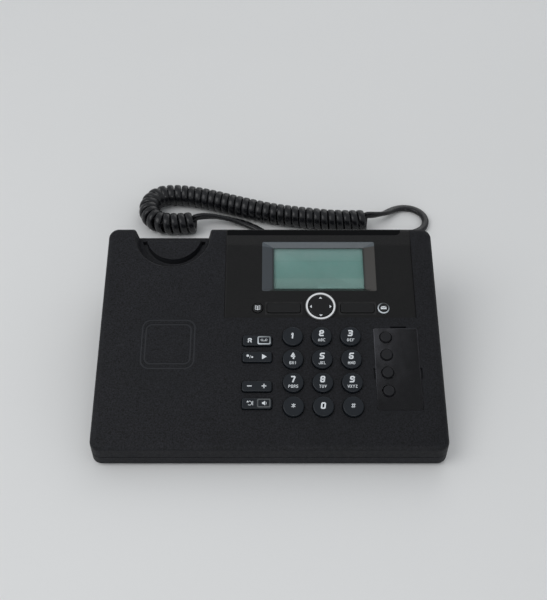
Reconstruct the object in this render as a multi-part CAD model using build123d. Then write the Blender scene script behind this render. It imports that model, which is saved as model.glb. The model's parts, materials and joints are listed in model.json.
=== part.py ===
"""Corded desk telephone base with a built-in answering machine, lying flat on its feet.

Millimetres and degrees. +X is to the right, +Y to the rear, +Z up; the origin is the middle of
the footprint at table level. What sits on the sloping face is laid out in face coordinates:
u across the case, d down the face from its rear edge, h out of the face.
"""

from build123d import *
import math
import os

os.makedirs("parts", exist_ok=True)

# ----- Case ---------------------------------------------------------------------------------
DEPTH = 156.4
REAR_HEIGHT = 64.3  # table to the rear edge of the face
TILT = 16.2  # slope of the face
WALL = 2.5
CORNER_RADIUS = 7.0  # upright corners
EDGE_RADIUS = 4.0  # round the edge of the face
FOOT_HEIGHT = 1.5  # case floor above the table
FLOOR = 2.5  # thickness of the case floor
PARTING_HEIGHT = 9.0  # seam between cover and bottom case
SEAM_GAP = 0.4  # open line between cover and bottom case
LIP_HEIGHT = 3.0  # tongue of the bottom case inside the cover
LIP_THICKNESS = 1.35
SEAT_GAP = 0.15  # clearance between pieces that only slot together
MOVING_GAP = 0.35  # clearance round a key or plate that travels
RETAINER_GAP = 0.3  # resting gap between a key's flange and the cover above it
CONTACT_GAP = 0.1  # resting gap between a key and the rubber under it

# ----- Cradle on the left: ear pocket with its hook plate, rest square in front ----------------
POCKET_INSET = 45.1  # pocket centre from the left side
POCKET_RADIUS = 27.2
POCKET_CENTRE_D = 5.5
POCKET_DEPTH = 11.3
POCKET_DRAFT = 15.0
POCKET_RIM_RADIUS = 1.5  # round the pocket's edge in the face
POCKET_GAP = 10.5  # face between the ear pocket and the display panel
HOOK_RADIUS = 20.3
HOOK_REACH = 14.9  # how far the plate comes forward from its straight rear edge
HOOK_PROUD = 1.8  # plate above the pocket floor at rest
HOOK_TRAVEL = 1.3
HOOK_GAP = 0.4
HOOK_SLOT = 2.6  # open slot round the plate's curved side
HOOK_FLANGE_OVERLAP = 1.6  # flange past the slot, under the pocket floor
HOOK_FLANGE_THICKNESS = 1.5
HOOK_STEM_RADIUS = 2.0
HOOK_STEM_Y_INSET = 9.3  # stem's axis in front of the rear wall's surface
SPRING_SEAT_RADIUS = 6.2
SPRING_SEAT_HEIGHT = 2.0
SPRING_WIRE = 0.7
SPRING_TURNS = 4
SPRING_LENGTH = 10.0
HOOK_BOARD_SIZE = (52.0, 22.0)
HOOK_SCREW_OFFSET = (22.0, 8.0)  # sideways and forward from the stem
SWITCH_SIZE = 6.0
SWITCH_BUTTON_RADIUS = 1.6
SWITCH_BUTTON_HEIGHT = 0.8
REST_INSET = 46.1
REST_D = 91.2
REST_GROOVES = ((36.0, 36.0, 6.5), (31.0, 29.4, 4.5))  # width, length and corner of each groove
GROOVE_WIDTH = 1.2
GROOVE_DEPTH = 0.35

# ----- Display panel on the right ---------------------------------------------------------------
PANEL_INSET = 15.2  # right edge of the panel from the right side
PANEL_WIDTH = 128.5
PANEL_END_GAP = 7.4  # panel's front edge past the middle of the keys under the display
PANEL_SUNK = 0.9  # surface below the face
PANEL_THICKNESS = 1.3
PANEL_FIT = 0.05  # round the display bezel
PANEL_CORNER = 1.5
BROW_START_D = 7.8
BROW_END_D = 15.2
REBATE_DEPTH = 1.1
REBATE_INSETS = (0.5, 6.5)  # rebate's ends from the panel's left and right edges
REBATE_CORNER = 4.0
PAD_DEPTH = 4.1  # underside of the thick cover wall below the panel
PAD_MARGIN = 2.2
CONTROLS_INSET = 63.8  # middle of the nav key from the panel's right edge

# ----- Display ----------------------------------------------------------------------------------
DISPLAY_SIZE = (78.0, 38.8)
DISPLAY_SHIFT = -0.5  # from the nav key's centre line
DISPLAY_D = 32.0
BEZEL_SLOPES = (8.0, 3.4)  # frame round the glass, at the sides and at the ends
BEZEL_DEPTH = 2.9
BEZEL_CORNER = 1.2
BEZEL_SKIRT = 1.3
BEZEL_LIP = 0.8  # thickness of the bezel over the window's edge
BEZEL_RIM = 0.4  # level rim outside the slopes
WINDOW_THICKNESS = 1.2
WINDOW_MARGIN = 1.3  # hidden behind the bezel on each side
MODULE_MARGIN = 2.2

# ----- Controls under the display -----------------------------------------------------------------
CONTROLS_GAP = 13.1  # display's front edge to the middle of the keys below it
NAV_SHIFT = 1.0  # nav key behind the middle of those keys
NAV_RING_RADIUS = 10.6
NAV_RING_WIDTH = 1.85
NAV_RING_PROUD = 1.5  # above the panel
NAV_RING_THICKNESS = 1.1
NAV_KEY_GAP = 0.45
NAV_KEY_PROUD = 1.9
NAV_SLEEVE_STEP = 0.8  # the ring's sleeve is this much inside its flange
NAV_FLANGE_MARGIN = 0.9
NAV_FLANGE_THICKNESS = 1.0
NAV_FLANGE_GAP = 0.7
NAV_DOME_INSET = 2.5  # domes inside the ring's bore
NAV_BALL_RADIUS = 1.2
NAV_BALL_FIT = 0.05
SOFT_KEY_SIZE = (22.5, 7.0)
SOFT_KEY_OFFSET = 24.75
SOFT_KEY_CORNER = 1.6
PANEL_KEY_TRAVEL = 0.7  # pressed, these keys lie level with the panel
PANEL_FLANGE_THICKNESS = 0.9
SIDE_COLUMN_OFFSET = 42.4  # book, message, rocker and memory keys from the centre line
BOOK_KEY_RADIUS = 3.55
MESSAGE_RING_RADIUS = 4.0
MESSAGE_RING_WIDTH = 0.8
MESSAGE_SHOULDER_RADIUS = 4.8
MESSAGE_SHOULDER_HEIGHT = 1.0
MESSAGE_KEY_RADIUS = 2.85

# ----- Keypad -----------------------------------------------------------------------------------
KEY_PITCH = 19.05
KEY_ROW_PITCH = 16.35
KEY_FIRST_GAP = 22.0  # first row of keys from the keys under the display
KEY_RADIUS = 6.75
KEY_PROUD = 2.3
KEY_TRAVEL = 1.2
KEY_EDGE = 0.8
FLANGE_THICKNESS = 1.2
FLANGE_MARGIN = 0.9

# ----- Rockers on the left of the keypad ----------------------------------------------------------
ROCKER_SIZE = (19.3, 7.3)
ROCKER_CORNER = 1.6
ROCKER_PROUD = 1.8
ROCKER_GAP = 0.45
ROCKER_FLANGE_GAP = 0.6
ROCKER_PIVOT_RADIUS = 1.0
ROCKER_DOME_OFFSET = 6.0
ROCKER_SHIFT = 3.0  # first rocker in front of the first row of keys
ROCKER_PAIR_PITCH = 11.7
ROCKER_PAIR_STEP = 32.2
FRAME_SIZE = (8.6, 5.9)
FRAME_OFFSET = 4.5
FRAME_WIDTH = 0.8
FRAME_DEPTH = 0.6
FRAME_RISE = 0.05
FRAME_CORNER = 1.1

# ----- Memory keys and their label ------------------------------------------------------------------
MEMORY_SHIFT = 0.1  # first memory key in front of the first row of keys
MEMORY_PITCH = 12.6
MEMORY_BASE_RADIUS = 3.9
MEMORY_TAPER = 0.5  # top's radius inside the base's
MEMORY_TRAVEL = 0.8
MEMORY_PRESSED_PROUD = 0.5  # what still stands above the label when pressed
LABEL_LEFT_OFFSET = 34.6  # label's left edge from the centre line
LABEL_WIDTH = 29.2
LABEL_LEAD = 6.5  # label's rear edge behind the first row of keys
LABEL_LENGTH = 57.5
LABEL_CORNER = 1.0
LABEL_WINDOW_THICKNESS = 1.0
LABEL_CARD_THICKNESS = 0.3
LABEL_SUNK = 0.1
TOP_SLOT = (10.6, 1.3)
TOP_SLOT_OFFSET = 1.9  # right of the label's middle
SIDE_NOTCH = (1.3, 7.5)
SIDE_NOTCH_OFFSET = 3.6  # in front of the label's middle

# ----- Electronics --------------------------------------------------------------------------------
MAT_THICKNESS = 1.0
BOARD_THICKNESS = 1.6
DOME_SEAT = 1.2  # part of a number key's dome that doesn't give way
BOARD_START_D = 12.0
BOARD_END_GAP = 12.0  # key board past the last row of keys
BOARD_LEFT_MARGIN = 12.4  # key board past the rockers' left ends
BOARD_RIGHT_INSET = 1.0  # key board short of the panel's right edge
MAT_MARGIN = 4.0
DOME_RADIUS = 2.4
MAIN_BOARD_SIZE = (108.0, 92.0)
MAIN_BOARD_INSET = 15.0  # from the case's right side
MAIN_BOARD_HEIGHT = 6.6
# Places on the main board from its right and rear edges, then sizes.
PROCESSOR = ((68.0, 69.0), (16.0, 16.0, 1.6))
MEMORY_CHIP = ((39.0, 68.0), (10.0, 8.0, 1.2))
TRANSFORMER = ((51.0, 30.0), (18.0, 16.0, 13.0))
CAPACITORS = ((26.0, 42.0), (26.0, 28.0), (12.0, 36.0))
CAPACITOR_SIZE = (4.0, 11.0)  # radius and height
HEADER_SIZE = (14.0, 4.0, 4.0)
HEADER_OFFSET = 30.0  # connectors left of the centre line
HEADER_D = 59.6
CABLE_SIZE = (12.0, 0.8)
CABLE_END = 5.0  # straight part at each connector
CABLE_SLACK = 4.0
CABLE_BEND = 3.0
SCREW_RADIUS = 1.45
SCREW_HEAD_RADIUS = 2.8
SCREW_HEAD_HEIGHT = 2.0
SCREW_CROSS = (3.2, 0.7, 1.0)  # length, width and depth of the driver's cross
SCREW_FIT = 0.05
SCREW_CLEARANCE = 0.3  # round a screw in the piece it holds
CASE_SCREW_LENGTH = 14.0
CASE_SCREW_INSET = (9.5, 14.0)
POST_RADIUS = 4.0
POST_TOP = 12.0
BOARD_SCREW_RADIUS = 1.1
BOARD_SCREW_HEAD_RADIUS = 2.1
BOARD_SCREW_HEAD_HEIGHT = 1.4
BOARD_SCREW_LENGTH = 5.5
BOARD_BOSS_RADIUS = 2.8
BOARD_SCREW_EDGE = 3.4  # key board's screws from its left and right edges
MAIN_SCREW_INSETS = (5.0, 28.4, 5.6)  # from the main board's sides, rear and front
SPEAKER_RADIUS = 25.0
SPEAKER_HEIGHT = 16.0
SPEAKER_INSET = 45.0
SPEAKER_Y = -8.0
SPEAKER_RIM_HEIGHT = 3.0
BASKET_HEIGHT = 6.0
MAGNET_RADIUS = 14.0
CONE_DEPTH = 4.0
CONE_SLOPE = 40.0
CLAMP_THICKNESS = 1.6
CLAMP_OVERLAP = 3.0
CLAMP_EAR_REACH = 5.5
GRILLE_SLOT = 2.0
GRILLE_PITCH = 5.0
GRILLE_RADIUS = 20.0
MIC_RADIUS = 4.85
MIC_HEIGHT = 5.0
MIC_GAP = 12.0  # from the key board's left edge
MIC_INSET = 20.0  # from the case's front
MIC_COLLAR = 1.2
MIC_HOLE_RADIUS = 1.0
FOOT_RADIUS = 6.5
FOOT_INSET = (16.0, 30.0)
FOOT_RECESS = 0.8

# ----- Sockets in the rear wall ---------------------------------------------------------------------
JACK_FACE_INSET = 0.4  # socket faces behind the rear wall's surface
SOCKET_WALL = 1.6
HANDSET_JACK_X = 7.5
HANDSET_CAVITY = (7.95, 6.9, 11.5)
LINE_JACK_X = 39.5
LINE_CAVITY = (10.0, 7.2, 12.5)
POWER_JACK_X = 63.5
POWER_JACK_SIZE = (9.0, 11.0, 14.0)
POWER_BORE_RADIUS = 3.1
POWER_PIN_RADIUS = 1.0
POWER_BORE_LENGTH = 10.0

# ----- Handset cord -----------------------------------------------------------------------------------
CORD_DIAMETER = 4.5
COIL_DIAMETER = 17.0
PLUG_SIZE = (7.65, 6.6, 12.3)  # width, height, length of a modular plug
PLUG_SEAT = 10.5  # how deep the plug sits in its socket
PLUG_LATCH = (3.2, 1.1, 9.0)

# ----- Derived places ---------------------------------------------------------------------------------
COS = math.cos(math.radians(TILT))
SIN = math.sin(math.radians(TILT))
WIDTH = POCKET_INSET + POCKET_RADIUS + POCKET_GAP + PANEL_WIDTH + PANEL_INSET
RIGHT = WIDTH / 2
LEFT = -WIDTH / 2
REAR = DEPTH / 2
FRONT = -DEPTH / 2
FACE = Plane(origin=(0, REAR, REAR_HEIGHT), x_dir=(1, 0, 0), z_dir=(0, -SIN, COS))
CASE_FLOOR = FOOT_HEIGHT + FLOOR  # inner surface of the case floor

POCKET_U = LEFT + POCKET_INSET
REST_U = LEFT + REST_INSET
PANEL_RIGHT = RIGHT - PANEL_INSET
PANEL_LEFT = PANEL_RIGHT - PANEL_WIDTH
PANEL_U = (PANEL_LEFT + PANEL_RIGHT) / 2
CENTRE_U = PANEL_RIGHT - CONTROLS_INSET
DISPLAY_U = CENTRE_U + DISPLAY_SHIFT
SIDE_LEFT_U = CENTRE_U - SIDE_COLUMN_OFFSET
SIDE_RIGHT_U = CENTRE_U + SIDE_COLUMN_OFFSET
GLASS_SIZE = tuple(side - 2 * slope for side, slope in zip(DISPLAY_SIZE, BEZEL_SLOPES))
CONTROLS_D = DISPLAY_D + DISPLAY_SIZE[1] / 2 + CONTROLS_GAP
NAV_D = CONTROLS_D - NAV_SHIFT
NAV_RING_BORE = NAV_RING_RADIUS - NAV_RING_WIDTH
NAV_FLANGE_RADIUS = NAV_RING_BORE + NAV_FLANGE_MARGIN
PANEL_END_D = CONTROLS_D + PANEL_END_GAP
KEY_FIRST_D = CONTROLS_D + KEY_FIRST_GAP
ROCKER_FIRST_D = KEY_FIRST_D + ROCKER_SHIFT
MEMORY_FIRST_D = KEY_FIRST_D + MEMORY_SHIFT
LABEL_START_D = KEY_FIRST_D - LABEL_LEAD
LABEL_U = CENTRE_U + LABEL_LEFT_OFFSET + LABEL_WIDTH / 2
LABEL_D = LABEL_START_D + LABEL_LENGTH / 2
LABEL_DEPTH = LABEL_SUNK + LABEL_WINDOW_THICKNESS + LABEL_CARD_THICKNESS
SIDE_NOTCH_D = LABEL_D + SIDE_NOTCH_OFFSET
BOARD_LEFT = SIDE_LEFT_U - ROCKER_SIZE[0] / 2 - BOARD_LEFT_MARGIN
BOARD_RIGHT = PANEL_RIGHT - BOARD_RIGHT_INSET
BOARD_END_D = KEY_FIRST_D + 3 * KEY_ROW_PITCH + BOARD_END_GAP
MAIN_RIGHT = RIGHT - MAIN_BOARD_INSET
MAIN_LEFT = MAIN_RIGHT - MAIN_BOARD_SIZE[0]
MAIN_REAR = REAR - WALL - LIP_THICKNESS - 2 * SEAT_GAP
MAIN_FRONT = MAIN_REAR - MAIN_BOARD_SIZE[1]
MIC_X = BOARD_LEFT - MIC_GAP
MIC_Y = FRONT + MIC_INSET
MEMORY_HOLE_RADIUS = MEMORY_BASE_RADIUS + MOVING_GAP
MEMORY_PROUD = MEMORY_TRAVEL + MEMORY_PRESSED_PROUD
# Top of the key board below the face: a number key's flange, its travel and the rubber fit above it.
BOARD_DEPTH = WALL + RETAINER_GAP + FLANGE_THICKNESS + CONTACT_GAP + KEY_TRAVEL + DOME_SEAT + MAT_THICKNESS

PANEL_H = -PANEL_SUNK
PANEL_SEAT_H = PANEL_H - PANEL_THICKNESS
BEZEL_FLOOR_H = PANEL_H - BEZEL_DEPTH
WINDOW_LOW_H = BEZEL_FLOOR_H - BEZEL_SKIRT
WINDOW_TOP_H = BEZEL_FLOOR_H - BEZEL_LIP
MAT_TOP_H = -BOARD_DEPTH + MAT_THICKNESS
KEY_FLANGE_H = -WALL - RETAINER_GAP
ROCKER_FLANGE_H = -WALL - ROCKER_FLANGE_GAP
ROCKER_AXIS_H = ROCKER_FLANGE_H - FLANGE_THICKNESS
PANEL_FLANGE_H = -PAD_DEPTH - RETAINER_GAP
NAV_FLANGE_H = -PAD_DEPTH - NAV_FLANGE_GAP
NAV_KEY_LOW_H = NAV_FLANGE_H - NAV_FLANGE_THICKNESS
NAV_BALL_H = -BOARD_DEPTH + NAV_BALL_RADIUS + CONTACT_GAP
MAIN_BOARD_TOP = MAIN_BOARD_HEIGHT + BOARD_THICKNESS
HEADER_U = CENTRE_U - HEADER_OFFSET
POCKET_FLOOR_H = -POCKET_DEPTH
HOOK_TOP_H = POCKET_FLOOR_H + HOOK_PROUD
HOOK_FLANGE_H = POCKET_FLOOR_H - WALL - RETAINER_GAP
HOOK_STEM_Y = REAR - HOOK_STEM_Y_INSET


def height_under_face(y, h):
    """Height above the table of a plane parallel to the face, at a distance from front to rear."""
    return REAR_HEIGHT + h / COS - (REAR - y) * SIN / COS


SPRING_SEAT_Z = (
    height_under_face(HOOK_STEM_Y - SPRING_SEAT_RADIUS, HOOK_FLANGE_H - HOOK_FLANGE_THICKNESS)
    - SPRING_SEAT_HEIGHT / 2
)
HOOK_BOARD_TOP = SPRING_SEAT_Z - SPRING_LENGTH

NUMBER_KEYS = [
    ("key_1", -1, 0),
    ("key_2", 0, 0),
    ("key_3", 1, 0),
    ("key_4", -1, 1),
    ("key_5", 0, 1),
    ("key_6", 1, 1),
    ("key_7", -1, 2),
    ("key_8", 0, 2),
    ("key_9", 1, 2),
    ("key_star", -1, 3),
    ("key_0", 0, 3),
    ("key_hash", 1, 3),
]
ROCKERS = [
    ("recall_loop_rocker", ROCKER_FIRST_D),
    ("record_play_rocker", ROCKER_FIRST_D + ROCKER_PAIR_PITCH),
    ("volume_rocker", ROCKER_FIRST_D + ROCKER_PAIR_STEP),
    ("redial_speaker_rocker", ROCKER_FIRST_D + ROCKER_PAIR_STEP + ROCKER_PAIR_PITCH),
]
FRAMED_ROCKERS = {"loop_light_frame": ROCKERS[0][1], "speaker_light_frame": ROCKERS[3][1]}
MEMORY_KEYS = [(f"memory_key_{i + 1}", MEMORY_FIRST_D + i * MEMORY_PITCH) for i in range(4)]


def key_place(column, row):
    """Middle of a number key, in face coordinates."""
    return CENTRE_U + column * KEY_PITCH, KEY_FIRST_D + row * KEY_ROW_PITCH


# ----- Building blocks --------------------------------------------------------------------------------
def on_face(shape):
    """Moves a shape from face coordinates (u, -d, h) to the part's frame."""
    return FACE.location * shape


def slab(u, d, size, low, high, corner=0.0):
    """Block standing on the face, centred at (u, d), between two heights."""
    outline = RectangleRounded(*size, corner) if corner > 0 else Rectangle(*size)
    return Pos(u, -d, low) * extrude(outline, high - low)


def disc(u, d, radius, low, high):
    """Round block standing on the face."""
    return Pos(u, -d, low) * extrude(Circle(radius), high - low)


def ring(u, d, outer, inner, low, high):
    """Round collar standing on the face."""
    return disc(u, d, outer, low, high) - disc(u, d, inner, low - 1, high + 1)


def box_between(low, high):
    """Box from one corner to the opposite one, in the part's frame."""
    size = [b - a for a, b in zip(low, high)]
    centre = [(a + b) / 2 for a, b in zip(low, high)]
    return Pos(*centre) * Box(*size)


def upright(x, y, radius, low, high):
    """Vertical cylinder, in the part's frame."""
    return Pos(x, y, low) * extrude(Circle(radius), high - low)


def soften_top(shape, radius):
    """Rounds the outline of a shape's highest face."""
    return fillet(shape.faces().sort_by(Axis.Z)[-1].outer_wire().edges(), radius)


def layer(low, high):
    """Layer parallel to the face, wider than the case, in face coordinates."""
    return slab(0, DEPTH / 2, (2 * WIDTH, 3 * DEPTH), low, high)


def plan(inset):
    """Outline of the case seen from above, moved in by an inset."""
    corner = max(CORNER_RADIUS - inset, 0.5)
    return RectangleRounded(WIDTH - 2 * inset, DEPTH - 2 * inset, corner)


def case_wedge(inset, edge_radius):
    """Closed wedge of the case, every side but the bottom moved in by an inset."""
    prism = extrude(plan(inset), REAR_HEIGHT)
    wedge = prism - on_face(layer(-inset, REAR_HEIGHT))
    face = max(wedge.faces(), key=lambda f: (f.normal_at().Z > 0.5, f.area))
    return fillet(face.edges(), edge_radius)


# ----- Places shared by several pieces ------------------------------------------------------------------
CASE_SCREWS = [
    (sx * (RIGHT - CASE_SCREW_INSET[0]), sy * (REAR - CASE_SCREW_INSET[1]))
    for sx in (-1, 1)
    for sy in (-1, 1)
]
BOARD_SCREWS = [
    (BOARD_LEFT + BOARD_SCREW_EDGE, BOARD_START_D + 7.0),
    (BOARD_RIGHT - BOARD_SCREW_EDGE, BOARD_START_D + 7.0),
    (BOARD_LEFT + BOARD_SCREW_EDGE, PANEL_END_D + 9.5),
    (BOARD_RIGHT - BOARD_SCREW_EDGE, PANEL_END_D + 4.5),
    (BOARD_LEFT + BOARD_SCREW_EDGE, BOARD_END_D - 5.0),
    (BOARD_RIGHT - BOARD_SCREW_EDGE, BOARD_END_D - 5.0),
]
HOOK_SCREWS = [
    (POCKET_U + side * HOOK_SCREW_OFFSET[0], HOOK_STEM_Y - HOOK_SCREW_OFFSET[1]) for side in (-1, 1)
]
MAIN_SCREWS = [
    (x, y)
    for x in (MAIN_LEFT + MAIN_SCREW_INSETS[0], MAIN_RIGHT - MAIN_SCREW_INSETS[0])
    for y in (MAIN_REAR - MAIN_SCREW_INSETS[1], MAIN_FRONT + MAIN_SCREW_INSETS[2])
]
FEET = [
    (sx * (RIGHT - FOOT_INSET[0]), sy * (REAR - FOOT_INSET[1])) for sx in (-1, 1) for sy in (-1, 1)
]
SPEAKER_X = LEFT + SPEAKER_INSET
CLAMP_EARS = [
    (SPEAKER_X + s * (SPEAKER_RADIUS + CLAMP_EAR_REACH), SPEAKER_Y) for s in (-1, 1)
]
CLAMP_LOW = CASE_FLOOR + SPEAKER_RIM_HEIGHT


def jack_size(cavity):
    """Outer width, height and length of a modular socket round its cavity."""
    return cavity[0] + 2 * SOCKET_WALL, cavity[1] + 2 * SOCKET_WALL, cavity[2] + SOCKET_WALL


SOCKETS = [
    (HANDSET_JACK_X, jack_size(HANDSET_CAVITY)),
    (LINE_JACK_X, jack_size(LINE_CAVITY)),
    (POWER_JACK_X, POWER_JACK_SIZE),
]
JACK_FACE = REAR - JACK_FACE_INSET
HANDSET_AXIS_Z = MAIN_BOARD_TOP + SOCKET_WALL + PLUG_SIZE[1] / 2


def socket_box(x, size, grow=0.0, reach=0.0):
    """Block of a socket on the main board, grown on its sides and lengthened to the rear."""
    low = (x - size[0] / 2 - grow, JACK_FACE - size[2], MAIN_BOARD_TOP - grow)
    high = (x + size[0] / 2 + grow, JACK_FACE + reach, MAIN_BOARD_TOP + size[1] + grow)
    return box_between(low, high)


# ----- Case pieces ----------------------------------------------------------------------------------------
def pocket_block(grow, above):
    """The ear pocket's hollow, grown by a wall; it runs out through the rear."""
    radius = POCKET_RADIUS + grow
    back = 2 * POCKET_RADIUS
    outline = Circle(radius) + Pos(0, back / 2) * Rectangle(2 * radius, back)
    hollow = extrude(outline, amount=-(POCKET_DEPTH + grow), taper=POCKET_DRAFT)
    if above:
        hollow += extrude(outline, amount=above)
    return on_face(Pos(POCKET_U, -POCKET_CENTRE_D, 0) * hollow)


def hook_prism(grow, back, low, high):
    """Upright half-round block of the hook plate between two planes parallel to the face."""
    rear = REAR - WALL - 2 * HOOK_GAP + back
    centre_y = REAR - WALL - 2 * HOOK_GAP - HOOK_REACH + HOOK_RADIUS
    column = upright(POCKET_U, centre_y, HOOK_RADIUS + grow, 0, REAR_HEIGHT)
    column &= box_between((LEFT, FRONT, 0), (RIGHT, rear, REAR_HEIGHT))
    return column & on_face(layer(low, high))


def groove(width, length, corner):
    """Rectangular groove with round corners, cut into the face."""
    outer = RectangleRounded(width, length, corner)
    inner = RectangleRounded(width - 2 * GROOVE_WIDTH, length - 2 * GROOVE_WIDTH, corner - GROOVE_WIDTH)
    return Pos(REST_U, -REST_D, -GROOVE_DEPTH) * extrude(outer - inner, 2 * GROOVE_DEPTH)


def panel_outline_block(grow, low, high):
    """Block of the display panel's plan, which runs out over the rear edge."""
    back = 2 * EDGE_RADIUS
    size = (PANEL_WIDTH + 2 * grow, PANEL_END_D + back + grow)
    return slab(PANEL_U, (PANEL_END_D + grow - back) / 2, size, low, high)


def control_holes(low, high, gap):
    """Openings for everything that comes up through the panel."""
    display = (DISPLAY_SIZE[0] + 2 * gap, DISPLAY_SIZE[1] + 2 * gap)
    holes = [slab(DISPLAY_U, DISPLAY_D, display, low, high, BEZEL_CORNER)]
    holes.append(disc(CENTRE_U, NAV_D, NAV_RING_RADIUS - NAV_SLEEVE_STEP, low, high))
    soft = [side + 2 * MOVING_GAP for side in SOFT_KEY_SIZE]
    for side in (-1, 1):
        u = CENTRE_U + side * SOFT_KEY_OFFSET
        holes.append(slab(u, CONTROLS_D, soft, low, high, SOFT_KEY_CORNER + MOVING_GAP))
    holes.append(disc(SIDE_LEFT_U, CONTROLS_D, BOOK_KEY_RADIUS + MOVING_GAP, low, high))
    holes.append(disc(SIDE_RIGHT_U, CONTROLS_D, MESSAGE_RING_RADIUS + SEAT_GAP, low, high))
    return holes


def face_bosses():
    """Screw bosses under the cover for the key board."""
    return [disc(u, d, BOARD_BOSS_RADIUS, -BOARD_DEPTH, -WALL / 2) for u, d in BOARD_SCREWS]


def pocketed_case():
    """Outside of the case with the ear pocket let in, its edge in the face rounded."""
    case = case_wedge(0, EDGE_RADIUS) - pocket_block(0, EDGE_RADIUS)
    rim_side = on_face(Pos(POCKET_U, -POCKET_CENTRE_D, 0) * Circle(POCKET_RADIUS)).edges()[0]
    rim = [e for e in case.edges() if e.geom_type == GeomType.CIRCLE and abs(e.radius - rim_side.radius) < 0.01]
    return fillet(rim, POCKET_RIM_RADIUS)


def make_top_cover():
    outside = pocketed_case()
    inside = case_wedge(WALL, EDGE_RADIUS - WALL)
    cover = outside - inside
    pad = panel_outline_block(PAD_MARGIN, -PAD_DEPTH, -WALL / 2)
    extra = [on_face(pad)] + [on_face(boss) for boss in face_bosses()]
    for x, y in CASE_SCREWS:
        extra.append(upright(x, y, POST_RADIUS, POST_TOP, REAR_HEIGHT))
    for x, y in HOOK_SCREWS:
        under_face = height_under_face(y, -WALL / 2)
        extra.append(upright(x, y, BOARD_BOSS_RADIUS, HOOK_BOARD_TOP, under_face))
    extra.append(pocket_block(WALL, 0))
    for solid in extra:
        cover += solid & outside
    cuts = [groove(*size) for size in REST_GROOVES]
    cuts.append(panel_outline_block(SEAT_GAP, PANEL_SEAT_H, EDGE_RADIUS))
    cuts += control_holes(-PAD_DEPTH - 1, EDGE_RADIUS, SEAT_GAP)
    for _, column, row in NUMBER_KEYS:
        cuts.append(disc(*key_place(column, row), KEY_RADIUS + MOVING_GAP, -2 * WALL, WALL))
    rocker_hole = [side + 2 * ROCKER_GAP for side in ROCKER_SIZE]
    for _, d in ROCKERS:
        corner = ROCKER_CORNER + ROCKER_GAP
        cuts.append(slab(SIDE_LEFT_U, d, rocker_hole, -2 * WALL, WALL, corner))
    label = (LABEL_WIDTH + 2 * SEAT_GAP, LABEL_LENGTH + 2 * SEAT_GAP)
    cuts.append(slab(LABEL_U, LABEL_D, label, -LABEL_DEPTH, WALL, LABEL_CORNER))
    top_slot_d = LABEL_START_D - TOP_SLOT[1] / 2
    cuts.append(slab(LABEL_U + TOP_SLOT_OFFSET, top_slot_d, TOP_SLOT, -LABEL_DEPTH, WALL))
    for side in (-1, 1):
        u = LABEL_U + side * (LABEL_WIDTH + SIDE_NOTCH[0]) / 2
        cuts.append(slab(u, SIDE_NOTCH_D, SIDE_NOTCH, -LABEL_DEPTH, WALL))
    for _, d in MEMORY_KEYS:
        cuts.append(disc(SIDE_RIGHT_U, d, MEMORY_HOLE_RADIUS, -2 * WALL, WALL))
    for u, d in BOARD_SCREWS:
        pilot = BOARD_SCREW_RADIUS + SCREW_FIT
        cuts.append(disc(u, d, pilot, -BOARD_DEPTH - 1, -BOARD_DEPTH + BOARD_SCREW_LENGTH - 1))
    shoulder_seat = MESSAGE_SHOULDER_RADIUS + SEAT_GAP
    shoulder_low = PANEL_SEAT_H - MESSAGE_SHOULDER_HEIGHT
    cuts.append(disc(SIDE_RIGHT_U, CONTROLS_D, shoulder_seat, shoulder_low, EDGE_RADIUS))
    ring_seat = NAV_RING_RADIUS + SEAT_GAP
    cuts.append(disc(CENTRE_U, NAV_D, ring_seat, PANEL_H, EDGE_RADIUS))
    cuts = [on_face(cut) for cut in cuts]
    cuts.append(hook_prism(HOOK_SLOT, HOOK_GAP, POCKET_FLOOR_H - 2 * WALL, POCKET_FLOOR_H + 1))
    for x, y in HOOK_SCREWS:
        pilot = BOARD_SCREW_RADIUS + SCREW_FIT
        top = HOOK_BOARD_TOP + BOARD_SCREW_LENGTH - BOARD_THICKNESS + 0.5
        cuts.append(upright(x, y, pilot, HOOK_BOARD_TOP - 1, top))
    for x, y in CASE_SCREWS:
        top = FOOT_HEIGHT + CASE_SCREW_LENGTH + 1
        cuts.append(upright(x, y, SCREW_RADIUS + SCREW_FIT, POST_TOP - 1, top))
    for x, size in SOCKETS:
        cuts.append(socket_box(x, size, 2 * SEAT_GAP, REAR))
    cuts.append(box_between((-WIDTH, -DEPTH, -1), (WIDTH, DEPTH, PARTING_HEIGHT + SEAM_GAP)))
    return cover - cuts


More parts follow.
